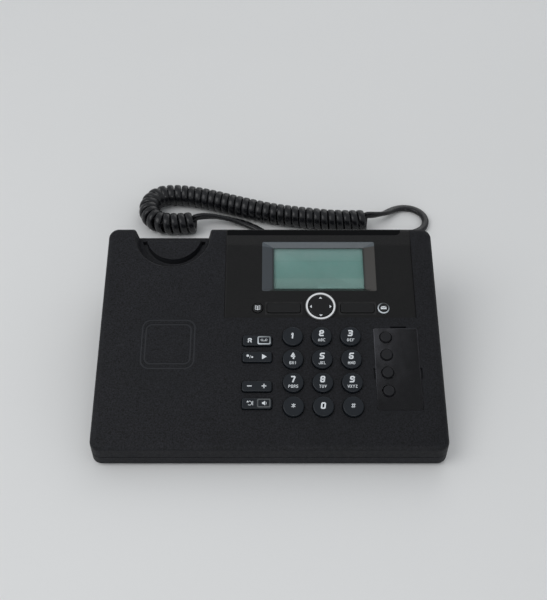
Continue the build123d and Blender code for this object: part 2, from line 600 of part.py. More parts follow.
def make_bottom_case():
    base = Pos(0, 0, FOOT_HEIGHT) * extrude(plan(0), PARTING_HEIGHT - FOOT_HEIGHT)
    base = fillet(base.faces().sort_by(Axis.Z)[0].outer_wire().edges(), FLOOR / 2)
    lip_outer = WALL + SEAT_GAP
    lip_inner = lip_outer + LIP_THICKNESS
    tongue = Pos(0, 0, CASE_FLOOR) * extrude(plan(lip_outer), PARTING_HEIGHT + LIP_HEIGHT - CASE_FLOOR)
    room = Pos(0, 0, CASE_FLOOR) * extrude(plan(lip_inner), REAR_HEIGHT)
    base = base + tongue - room
    for x, y in CASE_SCREWS:
        base += upright(x, y, POST_RADIUS, CASE_FLOOR, POST_TOP)
    for x, y in MAIN_SCREWS:
        base += upright(x, y, BOARD_BOSS_RADIUS, CASE_FLOOR, MAIN_BOARD_HEIGHT)
    for x, y in CLAMP_EARS:
        base += upright(x, y, BOARD_BOSS_RADIUS, CASE_FLOOR, CLAMP_LOW)
    collar = MIC_RADIUS + SEAT_GAP + MIC_COLLAR
    base += upright(MIC_X, MIC_Y, collar, CASE_FLOOR, CASE_FLOOR + MIC_HEIGHT)

    cuts = [upright(MIC_X, MIC_Y, MIC_RADIUS + SEAT_GAP, CASE_FLOOR, REAR_HEIGHT)]
    cuts.append(upright(MIC_X, MIC_Y, MIC_HOLE_RADIUS, 0, CASE_FLOOR + 1))
    for x, y in CASE_SCREWS:
        cuts.append(upright(x, y, SCREW_RADIUS + SCREW_FIT, 0, POST_TOP + 1))
        head = SCREW_HEAD_RADIUS + MOVING_GAP
        cuts.append(upright(x, y, head, 0, FOOT_HEIGHT + SCREW_HEAD_HEIGHT))
    for x, y in MAIN_SCREWS:
        pilot = BOARD_SCREW_RADIUS + SCREW_FIT
        cuts.append(upright(x, y, pilot, FOOT_HEIGHT + 1, MAIN_BOARD_HEIGHT + 1))
    for x, y in CLAMP_EARS:
        pilot = BOARD_SCREW_RADIUS + SCREW_FIT
        cuts.append(upright(x, y, pilot, FOOT_HEIGHT + 1, CLAMP_LOW + 1))
    for x, y in FEET:
        cuts.append(upright(x, y, FOOT_RADIUS + SEAT_GAP, 0, FOOT_HEIGHT + FOOT_RECESS))
    for x, size in SOCKETS:
        cuts.append(socket_box(x, size, 2 * SEAT_GAP, REAR))
    rows = int((GRILLE_RADIUS - GRILLE_SLOT) // GRILLE_PITCH)
    for row in range(-rows, rows + 1):
        offset = row * GRILLE_PITCH
        length = 2 * math.sqrt(GRILLE_RADIUS**2 - offset**2) + GRILLE_SLOT
        slot = extrude(SlotOverall(length, GRILLE_SLOT), CASE_FLOOR + 1)
        cuts.append(Pos(SPEAKER_X, SPEAKER_Y + offset, 0) * slot)
    return base - cuts


def make_display_panel():
    """Sunk panel whose rear brow rises to the face and wraps over the rear edge."""
    low = PANEL_H - PANEL_THICKNESS
    back = 2 * EDGE_RADIUS
    profile = Polyline(
        [
            (back, low),
            (back, 0),
            (-BROW_START_D, 0),
            (-BROW_END_D, PANEL_H),
            (-PANEL_END_D, PANEL_H),
            (-PANEL_END_D, low),
        ],
        close=True,
    )
    section = Plane(origin=(PANEL_LEFT, 0, 0), x_dir=(0, 1, 0), z_dir=(1, 0, 0)) * make_face(profile)
    panel = extrude(section, PANEL_WIDTH)
    left = PANEL_LEFT + REBATE_INSETS[0]
    right = PANEL_RIGHT - REBATE_INSETS[1]
    rebate = slab((left + right) / 2, 0, (right - left, 2 * BROW_START_D), -REBATE_DEPTH, 1, REBATE_CORNER)
    square_end = slab(left + REBATE_CORNER, 0, (2 * REBATE_CORNER, 2 * BROW_START_D), -REBATE_DEPTH, 1)
    cuts = control_holes(low - 1, 1, PANEL_FIT) + [rebate, square_end]
    return on_face(panel - cuts) & case_wedge(0, EDGE_RADIUS)


def make_lcd_bezel():
    """Picture frame that slopes down to the glass, with a skirt behind it."""
    width, length = DISPLAY_SIZE
    frame = slab(DISPLAY_U, DISPLAY_D, DISPLAY_SIZE, WINDOW_LOW_H, PANEL_H, BEZEL_CORNER)
    top = Pos(DISPLAY_U, -DISPLAY_D, PANEL_H) * Rectangle(width - 2 * BEZEL_RIM, length - 2 * BEZEL_RIM)
    floor = Pos(DISPLAY_U, -DISPLAY_D, BEZEL_FLOOR_H) * Rectangle(*GLASS_SIZE)
    through = slab(DISPLAY_U, DISPLAY_D, GLASS_SIZE, WINDOW_LOW_H - 1, BEZEL_FLOOR_H + 0.01)
    seat = [side + 2 * (WINDOW_MARGIN + SEAT_GAP) for side in GLASS_SIZE]
    window_seat = slab(DISPLAY_U, DISPLAY_D, seat, WINDOW_LOW_H - 1, WINDOW_TOP_H)
    return on_face(frame - loft([floor, top]) - through - window_seat)


def make_lcd_window():
    size = [side + 2 * WINDOW_MARGIN for side in GLASS_SIZE]
    return on_face(slab(DISPLAY_U, DISPLAY_D, size, WINDOW_TOP_H - WINDOW_THICKNESS, WINDOW_TOP_H))


def make_lcd_module():
    size = [side + 2 * MODULE_MARGIN for side in GLASS_SIZE]
    return on_face(slab(DISPLAY_U, DISPLAY_D, size, -BOARD_DEPTH, WINDOW_TOP_H - WINDOW_THICKNESS))


# ----- Keys ---------------------------------------------------------------------------------------------
def make_round_key(u, d, radius, top, flange_high, flange_thickness):
    """Round cap with a retaining flange under the cover."""
    cap = soften_top(disc(u, d, radius, flange_high - flange_thickness, top), KEY_EDGE)
    flange = disc(u, d, radius + FLANGE_MARGIN, flange_high - flange_thickness, flange_high)
    return on_face(cap + flange)


def make_memory_key(d):
    """Small tapered cap that comes up through the label window."""
    low = KEY_FLANGE_H - FLANGE_THICKNESS
    base = disc(SIDE_RIGHT_U, d, MEMORY_BASE_RADIUS, low, 0)
    height = MEMORY_PROUD
    slope = math.degrees(math.atan2(MEMORY_TAPER, height))
    cone = extrude(Circle(MEMORY_BASE_RADIUS), amount=height, taper=slope)
    cap = soften_top(base + Pos(SIDE_RIGHT_U, -d, 0) * cone, KEY_EDGE / 2)
    flange = disc(SIDE_RIGHT_U, d, MEMORY_BASE_RADIUS + FLANGE_MARGIN, low, KEY_FLANGE_H)
    return on_face(cap + flange)


def make_soft_key(side):
    u = CENTRE_U + side * SOFT_KEY_OFFSET
    low = PANEL_FLANGE_H - PANEL_FLANGE_THICKNESS
    top = PANEL_H + PANEL_KEY_TRAVEL
    cap = soften_top(slab(u, CONTROLS_D, SOFT_KEY_SIZE, low, top, SOFT_KEY_CORNER), KEY_EDGE / 2)
    flange_size = [side_length + 2 * FLANGE_MARGIN for side_length in SOFT_KEY_SIZE]
    flange = slab(u, CONTROLS_D, flange_size, low, PANEL_FLANGE_H, SOFT_KEY_CORNER)
    return on_face(cap + flange)


def make_rocker(d):
    """Bar pressed at either end, which rocks on a half-round rib across its middle."""
    bar = slab(SIDE_LEFT_U, d, ROCKER_SIZE, ROCKER_AXIS_H, ROCKER_PROUD, ROCKER_CORNER)
    bar = soften_top(bar, KEY_EDGE)
    flange_size = (ROCKER_SIZE[0] + 2 * FLANGE_MARGIN, ROCKER_SIZE[1] + 2 * FLANGE_MARGIN)
    bar += slab(SIDE_LEFT_U, d, flange_size, ROCKER_AXIS_H, ROCKER_FLANGE_H, ROCKER_CORNER)
    rib = Rot(90, 0, 0) * Cylinder(ROCKER_PIVOT_RADIUS, ROCKER_SIZE[1])
    bar += Pos(SIDE_LEFT_U, -d, ROCKER_AXIS_H) * rib
    for frame_d in FRAMED_ROCKERS.values():
        if frame_d == d:
            bar -= light_frame(d, SEAT_GAP / 3)
    return on_face(bar)


def light_frame(d, grow=0.0):
    """Rectangular light guide let into the right half of a rocker."""
    u = SIDE_LEFT_U + FRAME_OFFSET
    outer = [side + 2 * grow for side in FRAME_SIZE]
    inner = [side - 2 * FRAME_WIDTH - 2 * grow for side in FRAME_SIZE]
    low = ROCKER_PROUD - FRAME_DEPTH
    high = ROCKER_PROUD + FRAME_RISE + grow
    block = slab(u, d, outer, low, high, FRAME_CORNER)
    return block - slab(u, d, inner, low - 1, high + 1, FRAME_CORNER / 2)


def make_nav_ring():
    """Bright ring round the nav key, with a sleeve that goes down through the cover."""
    flange_high = PANEL_H + NAV_RING_PROUD
    flange = disc(CENTRE_U, NAV_D, NAV_RING_RADIUS, PANEL_H, flange_high)
    flange = soften_top(flange, NAV_RING_THICKNESS / 2)
    sleeve = disc(CENTRE_U, NAV_D, NAV_RING_RADIUS - NAV_SLEEVE_STEP - SEAT_GAP, -PAD_DEPTH, PANEL_H)
    bore = disc(CENTRE_U, NAV_D, NAV_RING_BORE, -2 * PAD_DEPTH, 2 * PAD_DEPTH)
    return on_face(flange + sleeve - bore)


def make_nav_key():
    """Round rocking disc that sits on a pivot ball."""
    top = PANEL_H + NAV_KEY_PROUD
    cap = disc(CENTRE_U, NAV_D, NAV_RING_BORE - NAV_KEY_GAP, NAV_KEY_LOW_H, top)
    cap = soften_top(cap, KEY_EDGE)
    cap += disc(CENTRE_U, NAV_D, NAV_FLANGE_RADIUS, NAV_KEY_LOW_H, NAV_FLANGE_H)
    socket = Pos(CENTRE_U, -NAV_D, NAV_BALL_H) * Sphere(NAV_BALL_RADIUS + NAV_BALL_FIT)
    return on_face(cap - socket)


def make_nav_ball():
    return on_face(Pos(CENTRE_U, -NAV_D, NAV_BALL_H) * Sphere(NAV_BALL_RADIUS))


def make_message_ring():
    """Translucent ring round the message key."""
    inner = MESSAGE_RING_RADIUS - MESSAGE_RING_WIDTH
    top = PANEL_H + PANEL_KEY_TRAVEL / 2
    collar = ring(SIDE_RIGHT_U, CONTROLS_D, MESSAGE_RING_RADIUS, inner, -PAD_DEPTH, top)
    shoulder_low = PANEL_SEAT_H - MESSAGE_SHOULDER_HEIGHT
    shoulder = ring(SIDE_RIGHT_U, CONTROLS_D, MESSAGE_SHOULDER_RADIUS, inner, shoulder_low, PANEL_SEAT_H)
    return on_face(collar + shoulder)


# ----- Label --------------------------------------------------------------------------------------------
def label_sheet(low, high):
    """Sheet of the label's size with holes for the memory keys."""
    sheet = slab(LABEL_U, LABEL_D, (LABEL_WIDTH, LABEL_LENGTH), low, high, LABEL_CORNER)
    for _, d in MEMORY_KEYS:
        sheet -= disc(SIDE_RIGHT_U, d, MEMORY_HOLE_RADIUS, low - 1, high + 1)
    return on_face(sheet)


# ----- Cradle hook ----------------------------------------------------------------------------------------
def make_hook_plate():
    """Half-round plate in the ear pocket that the handset presses straight down."""
    plate = hook_prism(0, 0, HOOK_FLANGE_H - 0.1, HOOK_TOP_H)
    top = max(plate.faces(), key=lambda f: (f.normal_at().Z > 0.5, f.center().Z))
    plate = fillet(top.edges(), HOOK_PROUD / 3)
    margin = HOOK_SLOT + HOOK_FLANGE_OVERLAP
    flange = hook_prism(margin, HOOK_GAP, HOOK_FLANGE_H - HOOK_FLANGE_THICKNESS, HOOK_FLANGE_H)
    seat = upright(POCKET_U, HOOK_STEM_Y, SPRING_SEAT_RADIUS, SPRING_SEAT_Z, REAR_HEIGHT)
    seat &= on_face(layer(-REAR_HEIGHT, HOOK_FLANGE_H))
    stem_low = SPRING_SEAT_Z - SPRING_LENGTH / 2
    stem = upright(POCKET_U, HOOK_STEM_Y, HOOK_STEM_RADIUS, stem_low, SPRING_SEAT_Z + 1)
    return plate + flange + seat + stem


def make_hook_spring():
    """Compression spring between the plate's seat and the hook board."""
    radius = SPRING_SEAT_RADIUS - SPRING_WIRE
    height = SPRING_LENGTH - SPRING_WIRE - CONTACT_GAP
    coil = Helix(height / SPRING_TURNS, height, radius)
    section = Plane(origin=coil @ 0, z_dir=coil % 0) * Circle(SPRING_WIRE / 2)
    spring = sweep(section, path=coil, is_frenet=True)
    low = HOOK_BOARD_TOP + SPRING_WIRE / 2
    return Pos(POCKET_U, HOOK_STEM_Y, low) * spring


def make_hook_board():
    """Small board under the pocket that carries the hook switch and the spring."""
    width, length = HOOK_BOARD_SIZE
    rear = REAR - WALL - MOVING_GAP
    low = (POCKET_U - width / 2, rear - length, HOOK_BOARD_TOP - BOARD_THICKNESS)
    board = box_between(low, (POCKET_U + width / 2, rear, HOOK_BOARD_TOP))
    for x, y in HOOK_SCREWS:
        board -= upright(x, y, BOARD_SCREW_RADIUS + SCREW_CLEARANCE, 0, REAR_HEIGHT)
    return board


def make_hook_switch():
    """Push switch on the hook board, inside the spring and under the stem."""
    top = SPRING_SEAT_Z - SPRING_LENGTH / 2 - HOOK_TRAVEL - RETAINER_GAP
    half = SWITCH_SIZE / 2
    shoulder = top - SWITCH_BUTTON_HEIGHT
    low = (POCKET_U - half, HOOK_STEM_Y - half, HOOK_BOARD_TOP)
    body = box_between(low, (POCKET_U + half, HOOK_STEM_Y + half, shoulder))
    return body + upright(POCKET_U, HOOK_STEM_Y, SWITCH_BUTTON_RADIUS, shoulder, top)


# ----- Rubber and boards ------------------------------------------------------------------------------------
def make_keymat():
    """One rubber sheet under all the keys, with a dome or rib for each contact."""
    left = SIDE_LEFT_U - ROCKER_SIZE[0] / 2 - MAT_MARGIN
    right = SIDE_RIGHT_U + MEMORY_BASE_RADIUS + MAT_MARGIN
    start = NAV_D - NAV_FLANGE_RADIUS - 1.0
    end = KEY_FIRST_D + 3 * KEY_ROW_PITCH + KEY_RADIUS + MAT_MARGIN
    size = (right - left, end - start)
    mat = slab((left + right) / 2, (start + end) / 2, size, -BOARD_DEPTH, MAT_TOP_H, 2.0)
    key_dome = KEY_FLANGE_H - FLANGE_THICKNESS - CONTACT_GAP
    panel_dome = PANEL_FLANGE_H - PANEL_FLANGE_THICKNESS - CONTACT_GAP
    nav_dome = NAV_KEY_LOW_H - CONTACT_GAP
    rocker_dome = ROCKER_AXIS_H - CONTACT_GAP
    domes = [(*key_place(column, row), key_dome) for _, column, row in NUMBER_KEYS]
    domes += [(SIDE_RIGHT_U, d, key_dome) for _, d in MEMORY_KEYS]
    for side in (-1, 1):
        domes += [(CENTRE_U + side * SOFT_KEY_OFFSET, CONTROLS_D, panel_dome)]
        domes += [(CENTRE_U + side * SIDE_COLUMN_OFFSET, CONTROLS_D, panel_dome)]
        offset = side * (NAV_RING_BORE - NAV_DOME_INSET)
        domes += [(CENTRE_U + offset, NAV_D, nav_dome), (CENTRE_U, NAV_D + offset, nav_dome)]
        domes += [(SIDE_LEFT_U + side * ROCKER_DOME_OFFSET, d, rocker_dome) for _, d in ROCKERS]
    for u, d, top in domes:
        mat += disc(u, d, DOME_RADIUS, MAT_TOP_H, top)
    for _, d in ROCKERS:
        rib = (2 * ROCKER_PIVOT_RADIUS, ROCKER_SIZE[1])
        top = ROCKER_AXIS_H - ROCKER_PIVOT_RADIUS - CONTACT_GAP
        mat += slab(SIDE_LEFT_U, d, rib, MAT_TOP_H, top)
    mat -= disc(CENTRE_U, NAV_D, NAV_BALL_RADIUS + CONTACT_GAP, -2 * BOARD_DEPTH, 0)
    for u, d in BOARD_SCREWS:
        mat -= disc(u, d, BOARD_BOSS_RADIUS + SEAT_GAP, -2 * BOARD_DEPTH, 0)
    return on_face(mat)


def header_block():
    """Connector on the key board's underside."""
    under = -BOARD_DEPTH - BOARD_THICKNESS
    return slab(HEADER_U, HEADER_D, HEADER_SIZE[:2], under - HEADER_SIZE[2], under)


def make_key_board():
    size = (BOARD_RIGHT - BOARD_LEFT, BOARD_END_D - BOARD_START_D)
    centre = ((BOARD_LEFT + BOARD_RIGHT) / 2, (BOARD_START_D + BOARD_END_D) / 2)
    board = slab(*centre, size, -BOARD_DEPTH - BOARD_THICKNESS, -BOARD_DEPTH, 1.0)
    board += header_block()
    for u, d in BOARD_SCREWS:
        board -= disc(u, d, BOARD_SCREW_RADIUS + SCREW_CLEARANCE, -2 * BOARD_DEPTH, 0)
    return on_face(board)


def main_header():
    """Connector on the main board, and the key board's mouth straight above it."""
    width, length, height = HEADER_SIZE
    mouth = FACE.from_local_coords(Vector(HEADER_U, -HEADER_D, -BOARD_DEPTH - BOARD_THICKNESS - height))
    low = (mouth.X - width / 2, mouth.Y - length / 2, MAIN_BOARD_TOP)
    high = (mouth.X + width / 2, mouth.Y + length / 2, MAIN_BOARD_TOP + height)
    return box_between(low, high), mouth


def make_main_board():
    """Base electronics: board, processor, telephone line transformer and capacitors."""
    board = box_between((MAIN_LEFT, MAIN_FRONT, MAIN_BOARD_HEIGHT), (MAIN_RIGHT, MAIN_REAR, MAIN_BOARD_TOP))
    top = MAIN_BOARD_TOP
    for (across, ahead), (width, length, height) in (PROCESSOR, MEMORY_CHIP, TRANSFORMER):
        board += Pos(MAIN_RIGHT - across, MAIN_REAR - ahead, top + height / 2) * Box(width, length, height)
    for across, ahead in CAPACITORS:
        can_top = top + CAPACITOR_SIZE[1]
        board += upright(MAIN_RIGHT - across, MAIN_REAR - ahead, CAPACITOR_SIZE[0], top, can_top)
    board += main_header()[0]
    for x, y in MAIN_SCREWS:
        board -= upright(x, y, BOARD_SCREW_RADIUS + SCREW_CLEARANCE, 0, top + 1)
    return board


def make_board_cable():
    """Flat ribbon that joins the two boards, with a slack bend between its connectors."""
    _, mouth = main_header()
    low = MAIN_BOARD_TOP + HEADER_SIZE[2]
    points = [
        Vector(0, mouth.Y, low),
        Vector(0, mouth.Y, low + CABLE_END),
        Vector(0, mouth.Y - CABLE_SLACK, (low + mouth.Z) / 2),
        Vector(0, mouth.Y, mouth.Z - CABLE_END),
        Vector(0, mouth.Y, mouth.Z + HEADER_SIZE[2] / 2),
    ]
    line = FilletPolyline(*points, radius=CABLE_BEND)
    section = Plane(origin=points[0], x_dir=(1, 0, 0), z_dir=(0, 0, 1)) * Rectangle(*CABLE_SIZE)
    return Pos(mouth.X, 0, 0) * sweep(section, path=line) - on_face(header_block())


def make_loudspeaker():
    """Round driver facing down: rim, tapered basket and magnet."""
    rim = upright(SPEAKER_X, SPEAKER_Y, SPEAKER_RADIUS, CASE_FLOOR, CLAMP_LOW)
    neck = SPEAKER_RADIUS - CLAMP_OVERLAP - 1.0
    slope = math.degrees(math.atan2(neck - MAGNET_RADIUS + 1, BASKET_HEIGHT))
    basket = extrude(Circle(neck), BASKET_HEIGHT, taper=slope)
    basket = Pos(SPEAKER_X, SPEAKER_Y, CLAMP_LOW) * basket
    magnet_low = CLAMP_LOW + BASKET_HEIGHT
    magnet = upright(SPEAKER_X, SPEAKER_Y, MAGNET_RADIUS, magnet_low, CASE_FLOOR + SPEAKER_HEIGHT)
    cone_room = extrude(Circle(SPEAKER_RADIUS - CLAMP_OVERLAP), CONE_DEPTH, taper=CONE_SLOPE)
    return rim + basket + magnet - Pos(SPEAKER_X, SPEAKER_Y, CASE_FLOOR) * cone_room


def make_speaker_clamp():
    """Ring with two ears that holds the driver's rim down."""
    high = CLAMP_LOW + CLAMP_THICKNESS
    clamp = upright(SPEAKER_X, SPEAKER_Y, SPEAKER_RADIUS + 1.0, CLAMP_LOW, high)
    for x, y in CLAMP_EARS:
        clamp += upright(x, y, BOARD_BOSS_RADIUS + 1.0, CLAMP_LOW, high)
        clamp += box_between((min(x, SPEAKER_X), y - 3, CLAMP_LOW), (max(x, SPEAKER_X), y + 3, high))
    clamp -= upright(SPEAKER_X, SPEAKER_Y, SPEAKER_RADIUS - CLAMP_OVERLAP, 0, REAR_HEIGHT)
    for x, y in CLAMP_EARS:
        clamp -= upright(x, y, BOARD_SCREW_RADIUS + SCREW_CLEARANCE, 0, REAR_HEIGHT)
    return clamp


def make_microphone():
    return upright(MIC_X, MIC_Y, MIC_RADIUS, CASE_FLOOR, CASE_FLOOR + MIC_HEIGHT)


# ----- Sockets --------------------------------------------------------------------------------------------
def make_modular_jack(x, cavity):
    """Telephone socket: square cavity, latch notch and sprung contact wires."""
    size = jack_size(cavity)
    body = socket_box(x, size)
    width, height, length = cavity
    centre_z = MAIN_BOARD_TOP + size[1] / 2
    hollow = box_between(
        (x - width / 2, JACK_FACE - length, centre_z - height / 2),
        (x + width / 2, JACK_FACE + 1, centre_z + height / 2),
    )
    notch = box_between(
        (x - PLUG_LATCH[0] / 2 - 0.3, JACK_FACE - length, centre_z - height / 2 - SOCKET_WALL + 0.4),
        (x + PLUG_LATCH[0] / 2 + 0.3, JACK_FACE + 1, centre_z),
    )
    return body - [hollow, notch]


def make_power_jack():
    """Round low-voltage socket with its centre pin."""
    body = socket_box(POWER_JACK_X, POWER_JACK_SIZE)
    centre_z = MAIN_BOARD_TOP + POWER_JACK_SIZE[1] / 2
    along = Plane(origin=(POWER_JACK_X, JACK_FACE - POWER_BORE_LENGTH, centre_z), z_dir=(0, 1, 0))
    bore = along.location * extrude(Circle(POWER_BORE_RADIUS), POWER_BORE_LENGTH + 1)
    pin = along.location * extrude(Circle(POWER_PIN_RADIUS), POWER_BORE_LENGTH - 0.5)
    return body - bore + pin


# ----- Fasteners and feet -----------------------------------------------------------------------------------
def make_case_screws():
    screws = []
    for x, y in CASE_SCREWS:
        top = FOOT_HEIGHT + SCREW_HEAD_HEIGHT
        shank = upright(x, y, SCREW_RADIUS, top, FOOT_HEIGHT + CASE_SCREW_LENGTH)
        head = upright(x, y, SCREW_HEAD_RADIUS, FOOT_HEIGHT + 0.3, top)
        length, width, depth = SCREW_CROSS
        cross = Box(length, width, 2 * depth) + Box(width, length, 2 * depth)
        screws.append(shank + head - Pos(x, y, FOOT_HEIGHT + 0.3) * cross)
    return Compound(children=screws)


def make_board_screws():
    """Small screws of the key board, hook board, main board and speaker clamp."""
    screws = []
    under = -BOARD_DEPTH - BOARD_THICKNESS
    for u, d in BOARD_SCREWS:
        shank = disc(u, d, BOARD_SCREW_RADIUS, under, under + BOARD_SCREW_LENGTH)
        head = disc(u, d, BOARD_SCREW_HEAD_RADIUS, under - BOARD_SCREW_HEAD_HEIGHT, under)
        screws.append(on_face(shank + head))
    under = HOOK_BOARD_TOP - BOARD_THICKNESS
    for x, y in HOOK_SCREWS:
        shank = upright(x, y, BOARD_SCREW_RADIUS, under, under + BOARD_SCREW_LENGTH)
        head = upright(x, y, BOARD_SCREW_HEAD_RADIUS, under - BOARD_SCREW_HEAD_HEIGHT, under)
        screws.append(shank + head)
    tops = [(x, y, MAIN_BOARD_TOP) for x, y in MAIN_SCREWS]
    tops += [(x, y, CLAMP_LOW + CLAMP_THICKNESS) for x, y in CLAMP_EARS]
    for x, y, seat in tops:
        shank = upright(x, y, BOARD_SCREW_RADIUS, FOOT_HEIGHT + 1.5, seat)
        head = upright(x, y, BOARD_SCREW_HEAD_RADIUS, seat, seat + BOARD_SCREW_HEAD_HEIGHT)
        screws.append(shank + head)
    return Compound(children=screws)


def make_feet():
    feet = []
    for x, y in FEET:
        foot = upright(x, y, FOOT_RADIUS, 0, FOOT_HEIGHT + FOOT_RECESS)
        feet.append(fillet(foot.faces().sort_by(Axis.Z)[0].edges(), 0.5))
    return Compound(children=feet)


# ----- Handset cord -----------------------------------------------------------------------------------------
FLOOR_Z = CORD_DIAMETER / 2 + 0.05
COIL_Z = COIL_DIAMETER / 2 + 0.05
PLUG_REAR = JACK_FACE - PLUG_SEAT + PLUG_SIZE[2]  # rear end of the plugged-in plug

# Routes are (x, distance behind the rear wall, height).
LEAD_ROUTE = [
    (HANDSET_JACK_X, PLUG_REAR - REAR, HANDSET_AXIS_Z),
    (HANDSET_JACK_X, 18.0, HANDSET_AXIS_Z),
    (7.7, 32.6, 7.0),
    (4.6, 49.6, FLOOR_Z),
    (-8.9, 65.2, FLOOR_Z),
    (-27.6, 73.3, 4.4),
    (-46.64, 74.6, COIL_Z),
    (-61.46, 72.28, COIL_Z),
]
COIL_ROUTE = [
    (-60.5, 66.1, COIL_Z),
    (-76.5, 63.6, COIL_Z),
    (-92.0, 66.6, COIL_Z),
    (-99.8, 81.8, COIL_Z),
    (-93.6, 98.4, COIL_Z),
    (-76.5, 100.6, COIL_Z),
    (-54.5, 96.1, COIL_Z),
    (-26.5, 85.9, COIL_Z),
    (1.5, 76.5, COIL_Z),
    (28.5, 71.8, COIL_Z),
    (55.5, 67.7, COIL_Z),
    (76.5, 68.6, COIL_Z),
]
TAIL_ROUTE = [
    (76.23, 74.84, COIL_Z),
    (85.22, 75.23, COIL_Z),
    (93.6, 80.3, 5.9),
    (101.4, 88.6, 3.0),
    (110.0, 91.5, FLOOR_Z),
    (118.6, 89.2, FLOOR_Z),
    (124.7, 82.7, FLOOR_Z),
    (126.3, 73.8, FLOOR_Z),
    (122.9, 65.5, FLOOR_Z),
    (115.6, 60.2, 3.0),
    (104.3, 56.1, PLUG_SIZE[0] / 2),
    (94.5, 53.1, PLUG_SIZE[0] / 2),
]


def route_points(route):
    """A route in the part's frame."""
    return [Vector(x, REAR + behind, z) for x, behind, z in route]


def bend_radii(points):
    """The largest arc that the two runs beside each corner leave room for."""
    radii = []
    for before, corner, after in zip(points, points[1:], points[2:]):
        run_in = corner - before
        run_out = after - corner
        half_turn = math.radians(run_in.get_angle(run_out)) / 2
        radii.append(0.45 * min(run_in.length, run_out.length) / math.tan(half_turn))
    return radii


def make_tube(name, route, diameter):
    """Plain round tube along a route of straight runs joined by arcs."""
    points = route_points(route)
    radii = bend_radii(points)
    path = FilletPolyline(*points, radius=radii)
    section = Plane(origin=path @ 0, z_dir=path % 0) * Circle(diameter / 2)
    tube = sweep(section, path=path)
    expected = math.pi * (diameter / 2) ** 2 * path.length
    print(
        f"{name}: length {path.length:.1f}, radii {[round(r, 1) for r in radii]}, "
        f"volume {tube.volume / expected:.4f} of section times length"
    )
    return tube


def plug_block():
    """Modular plug lying along +Y from its nose, with its latch below."""
    width, height, length = PLUG_SIZE
    body = Pos(0, length / 2, 0) * Box(width, length, height)
    body = chamfer(body.faces().sort_by(Axis.Y)[0].edges(), 0.4)
    latch = Pos(0, PLUG_LATCH[2] / 2 + 1.0, -height / 2 - PLUG_LATCH[1] / 2 + 0.1)
    return body + latch * Box(PLUG_LATCH[0], PLUG_LATCH[2], PLUG_LATCH[1])


def make_base_plug():
    """Plug of the cord in the base's handset socket."""
    return Pos(HANDSET_JACK_X, JACK_FACE - PLUG_SEAT, HANDSET_AXIS_Z) * plug_block()


def make_handset_plug():
    """Plug on the cord's free end, lying on its side with its cord end at the tail's end."""
    end, before = route_points(TAIL_ROUTE)[-1], route_points(TAIL_ROUTE)[-2]
    way = end - before
    heading = math.degrees(math.atan2(way.Y, way.X)) + 90
    lying = Rot(0, 0, heading) * Pos(0, -PLUG_SIZE[2], PLUG_SIZE[0] / 2 - end.Z) * Rot(0, 90, 0)
    return Pos(end.X, end.Y, end.Z) * lying * plug_block()


# ----- All pieces -------------------------------------------------------------------------------------------
def make_pieces():
    pieces = {
        "top_cover": make_top_cover(),
        "bottom_case": make_bottom_case(),
        "display_panel": make_display_panel(),
        "lcd_bezel": make_lcd_bezel(),
        "lcd_window": make_lcd_window(),
        "lcd_module": make_lcd_module(),
        "nav_ring": make_nav_ring(),
        "nav_key": make_nav_key(),
        "nav_pivot_ball": make_nav_ball(),
        "soft_key_left": make_soft_key(-1),
        "soft_key_right": make_soft_key(1),
        "message_light_ring": make_message_ring(),
        "label_window": label_sheet(-LABEL_SUNK - LABEL_WINDOW_THICKNESS, -LABEL_SUNK),
        "label_card": label_sheet(-LABEL_DEPTH, -LABEL_DEPTH + LABEL_CARD_THICKNESS),
        "hook_plate": make_hook_plate(),
        "hook_spring": make_hook_spring(),
        "hook_board": make_hook_board(),
        "hook_switch": make_hook_switch(),
        "keymat": make_keymat(),
        "key_board": make_key_board(),
        "main_board": make_main_board(),
        "board_cable": make_board_cable(),
        "loudspeaker": make_loudspeaker(),
        "speaker_clamp": make_speaker_clamp(),
        "microphone": make_microphone(),
        "handset_jack": make_modular_jack(HANDSET_JACK_X, HANDSET_CAVITY),
        "line_jack": make_modular_jack(LINE_JACK_X, LINE_CAVITY),
        "power_jack": make_power_jack(),
        "case_screws": make_case_screws(),
        "board_screws": make_board_screws(),
        "rubber_feet": make_feet(),
        "base_plug": make_base_plug(),
        "handset_plug": make_handset_plug(),
        "cord_lead": make_tube("cord_lead", LEAD_ROUTE, CORD_DIAMETER),
        "cord_coil": make_tube("cord_coil", COIL_ROUTE, COIL_DIAMETER),
        "cord_tail": make_tube("cord_tail", TAIL_ROUTE, CORD_DIAMETER),
    }
    panel_keys = [
        ("phonebook_key", SIDE_LEFT_U, BOOK_KEY_RADIUS),
        ("message_key", SIDE_RIGHT_U, MESSAGE_KEY_RADIUS),
    ]
    for name, u, radius in panel_keys:
        top = PANEL_H + PANEL_KEY_TRAVEL
        pieces[name] = make_round_key(u, CONTROLS_D, radius, top, PANEL_FLANGE_H, PANEL_FLANGE_THICKNESS)
    for name, column, row in NUMBER_KEYS:
        u, d = key_place(column, row)
        pieces[name] = make_round_key(u, d, KEY_RADIUS, KEY_PROUD, KEY_FLANGE_H, FLANGE_THICKNESS)
    for name, d in MEMORY_KEYS:
        pieces[name] = make_memory_key(d)
    for name, d in ROCKERS:
        pieces[name] = make_rocker(d)
    for name, d in FRAMED_ROCKERS.items():
        pieces[name] = on_face(light_frame(d))
    return pieces


for node, piece in make_pieces().items():
    export_step(piece, f"parts/{node}.step")
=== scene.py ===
"""Finishes, printed legends, curly cord and studio for a corded desk telephone base with an
answering machine. Metres; +X to the right, +Y to the rear, +Z up.
"""

import json
import math

import bmesh
import bpy
from mathutils import Matrix, Vector


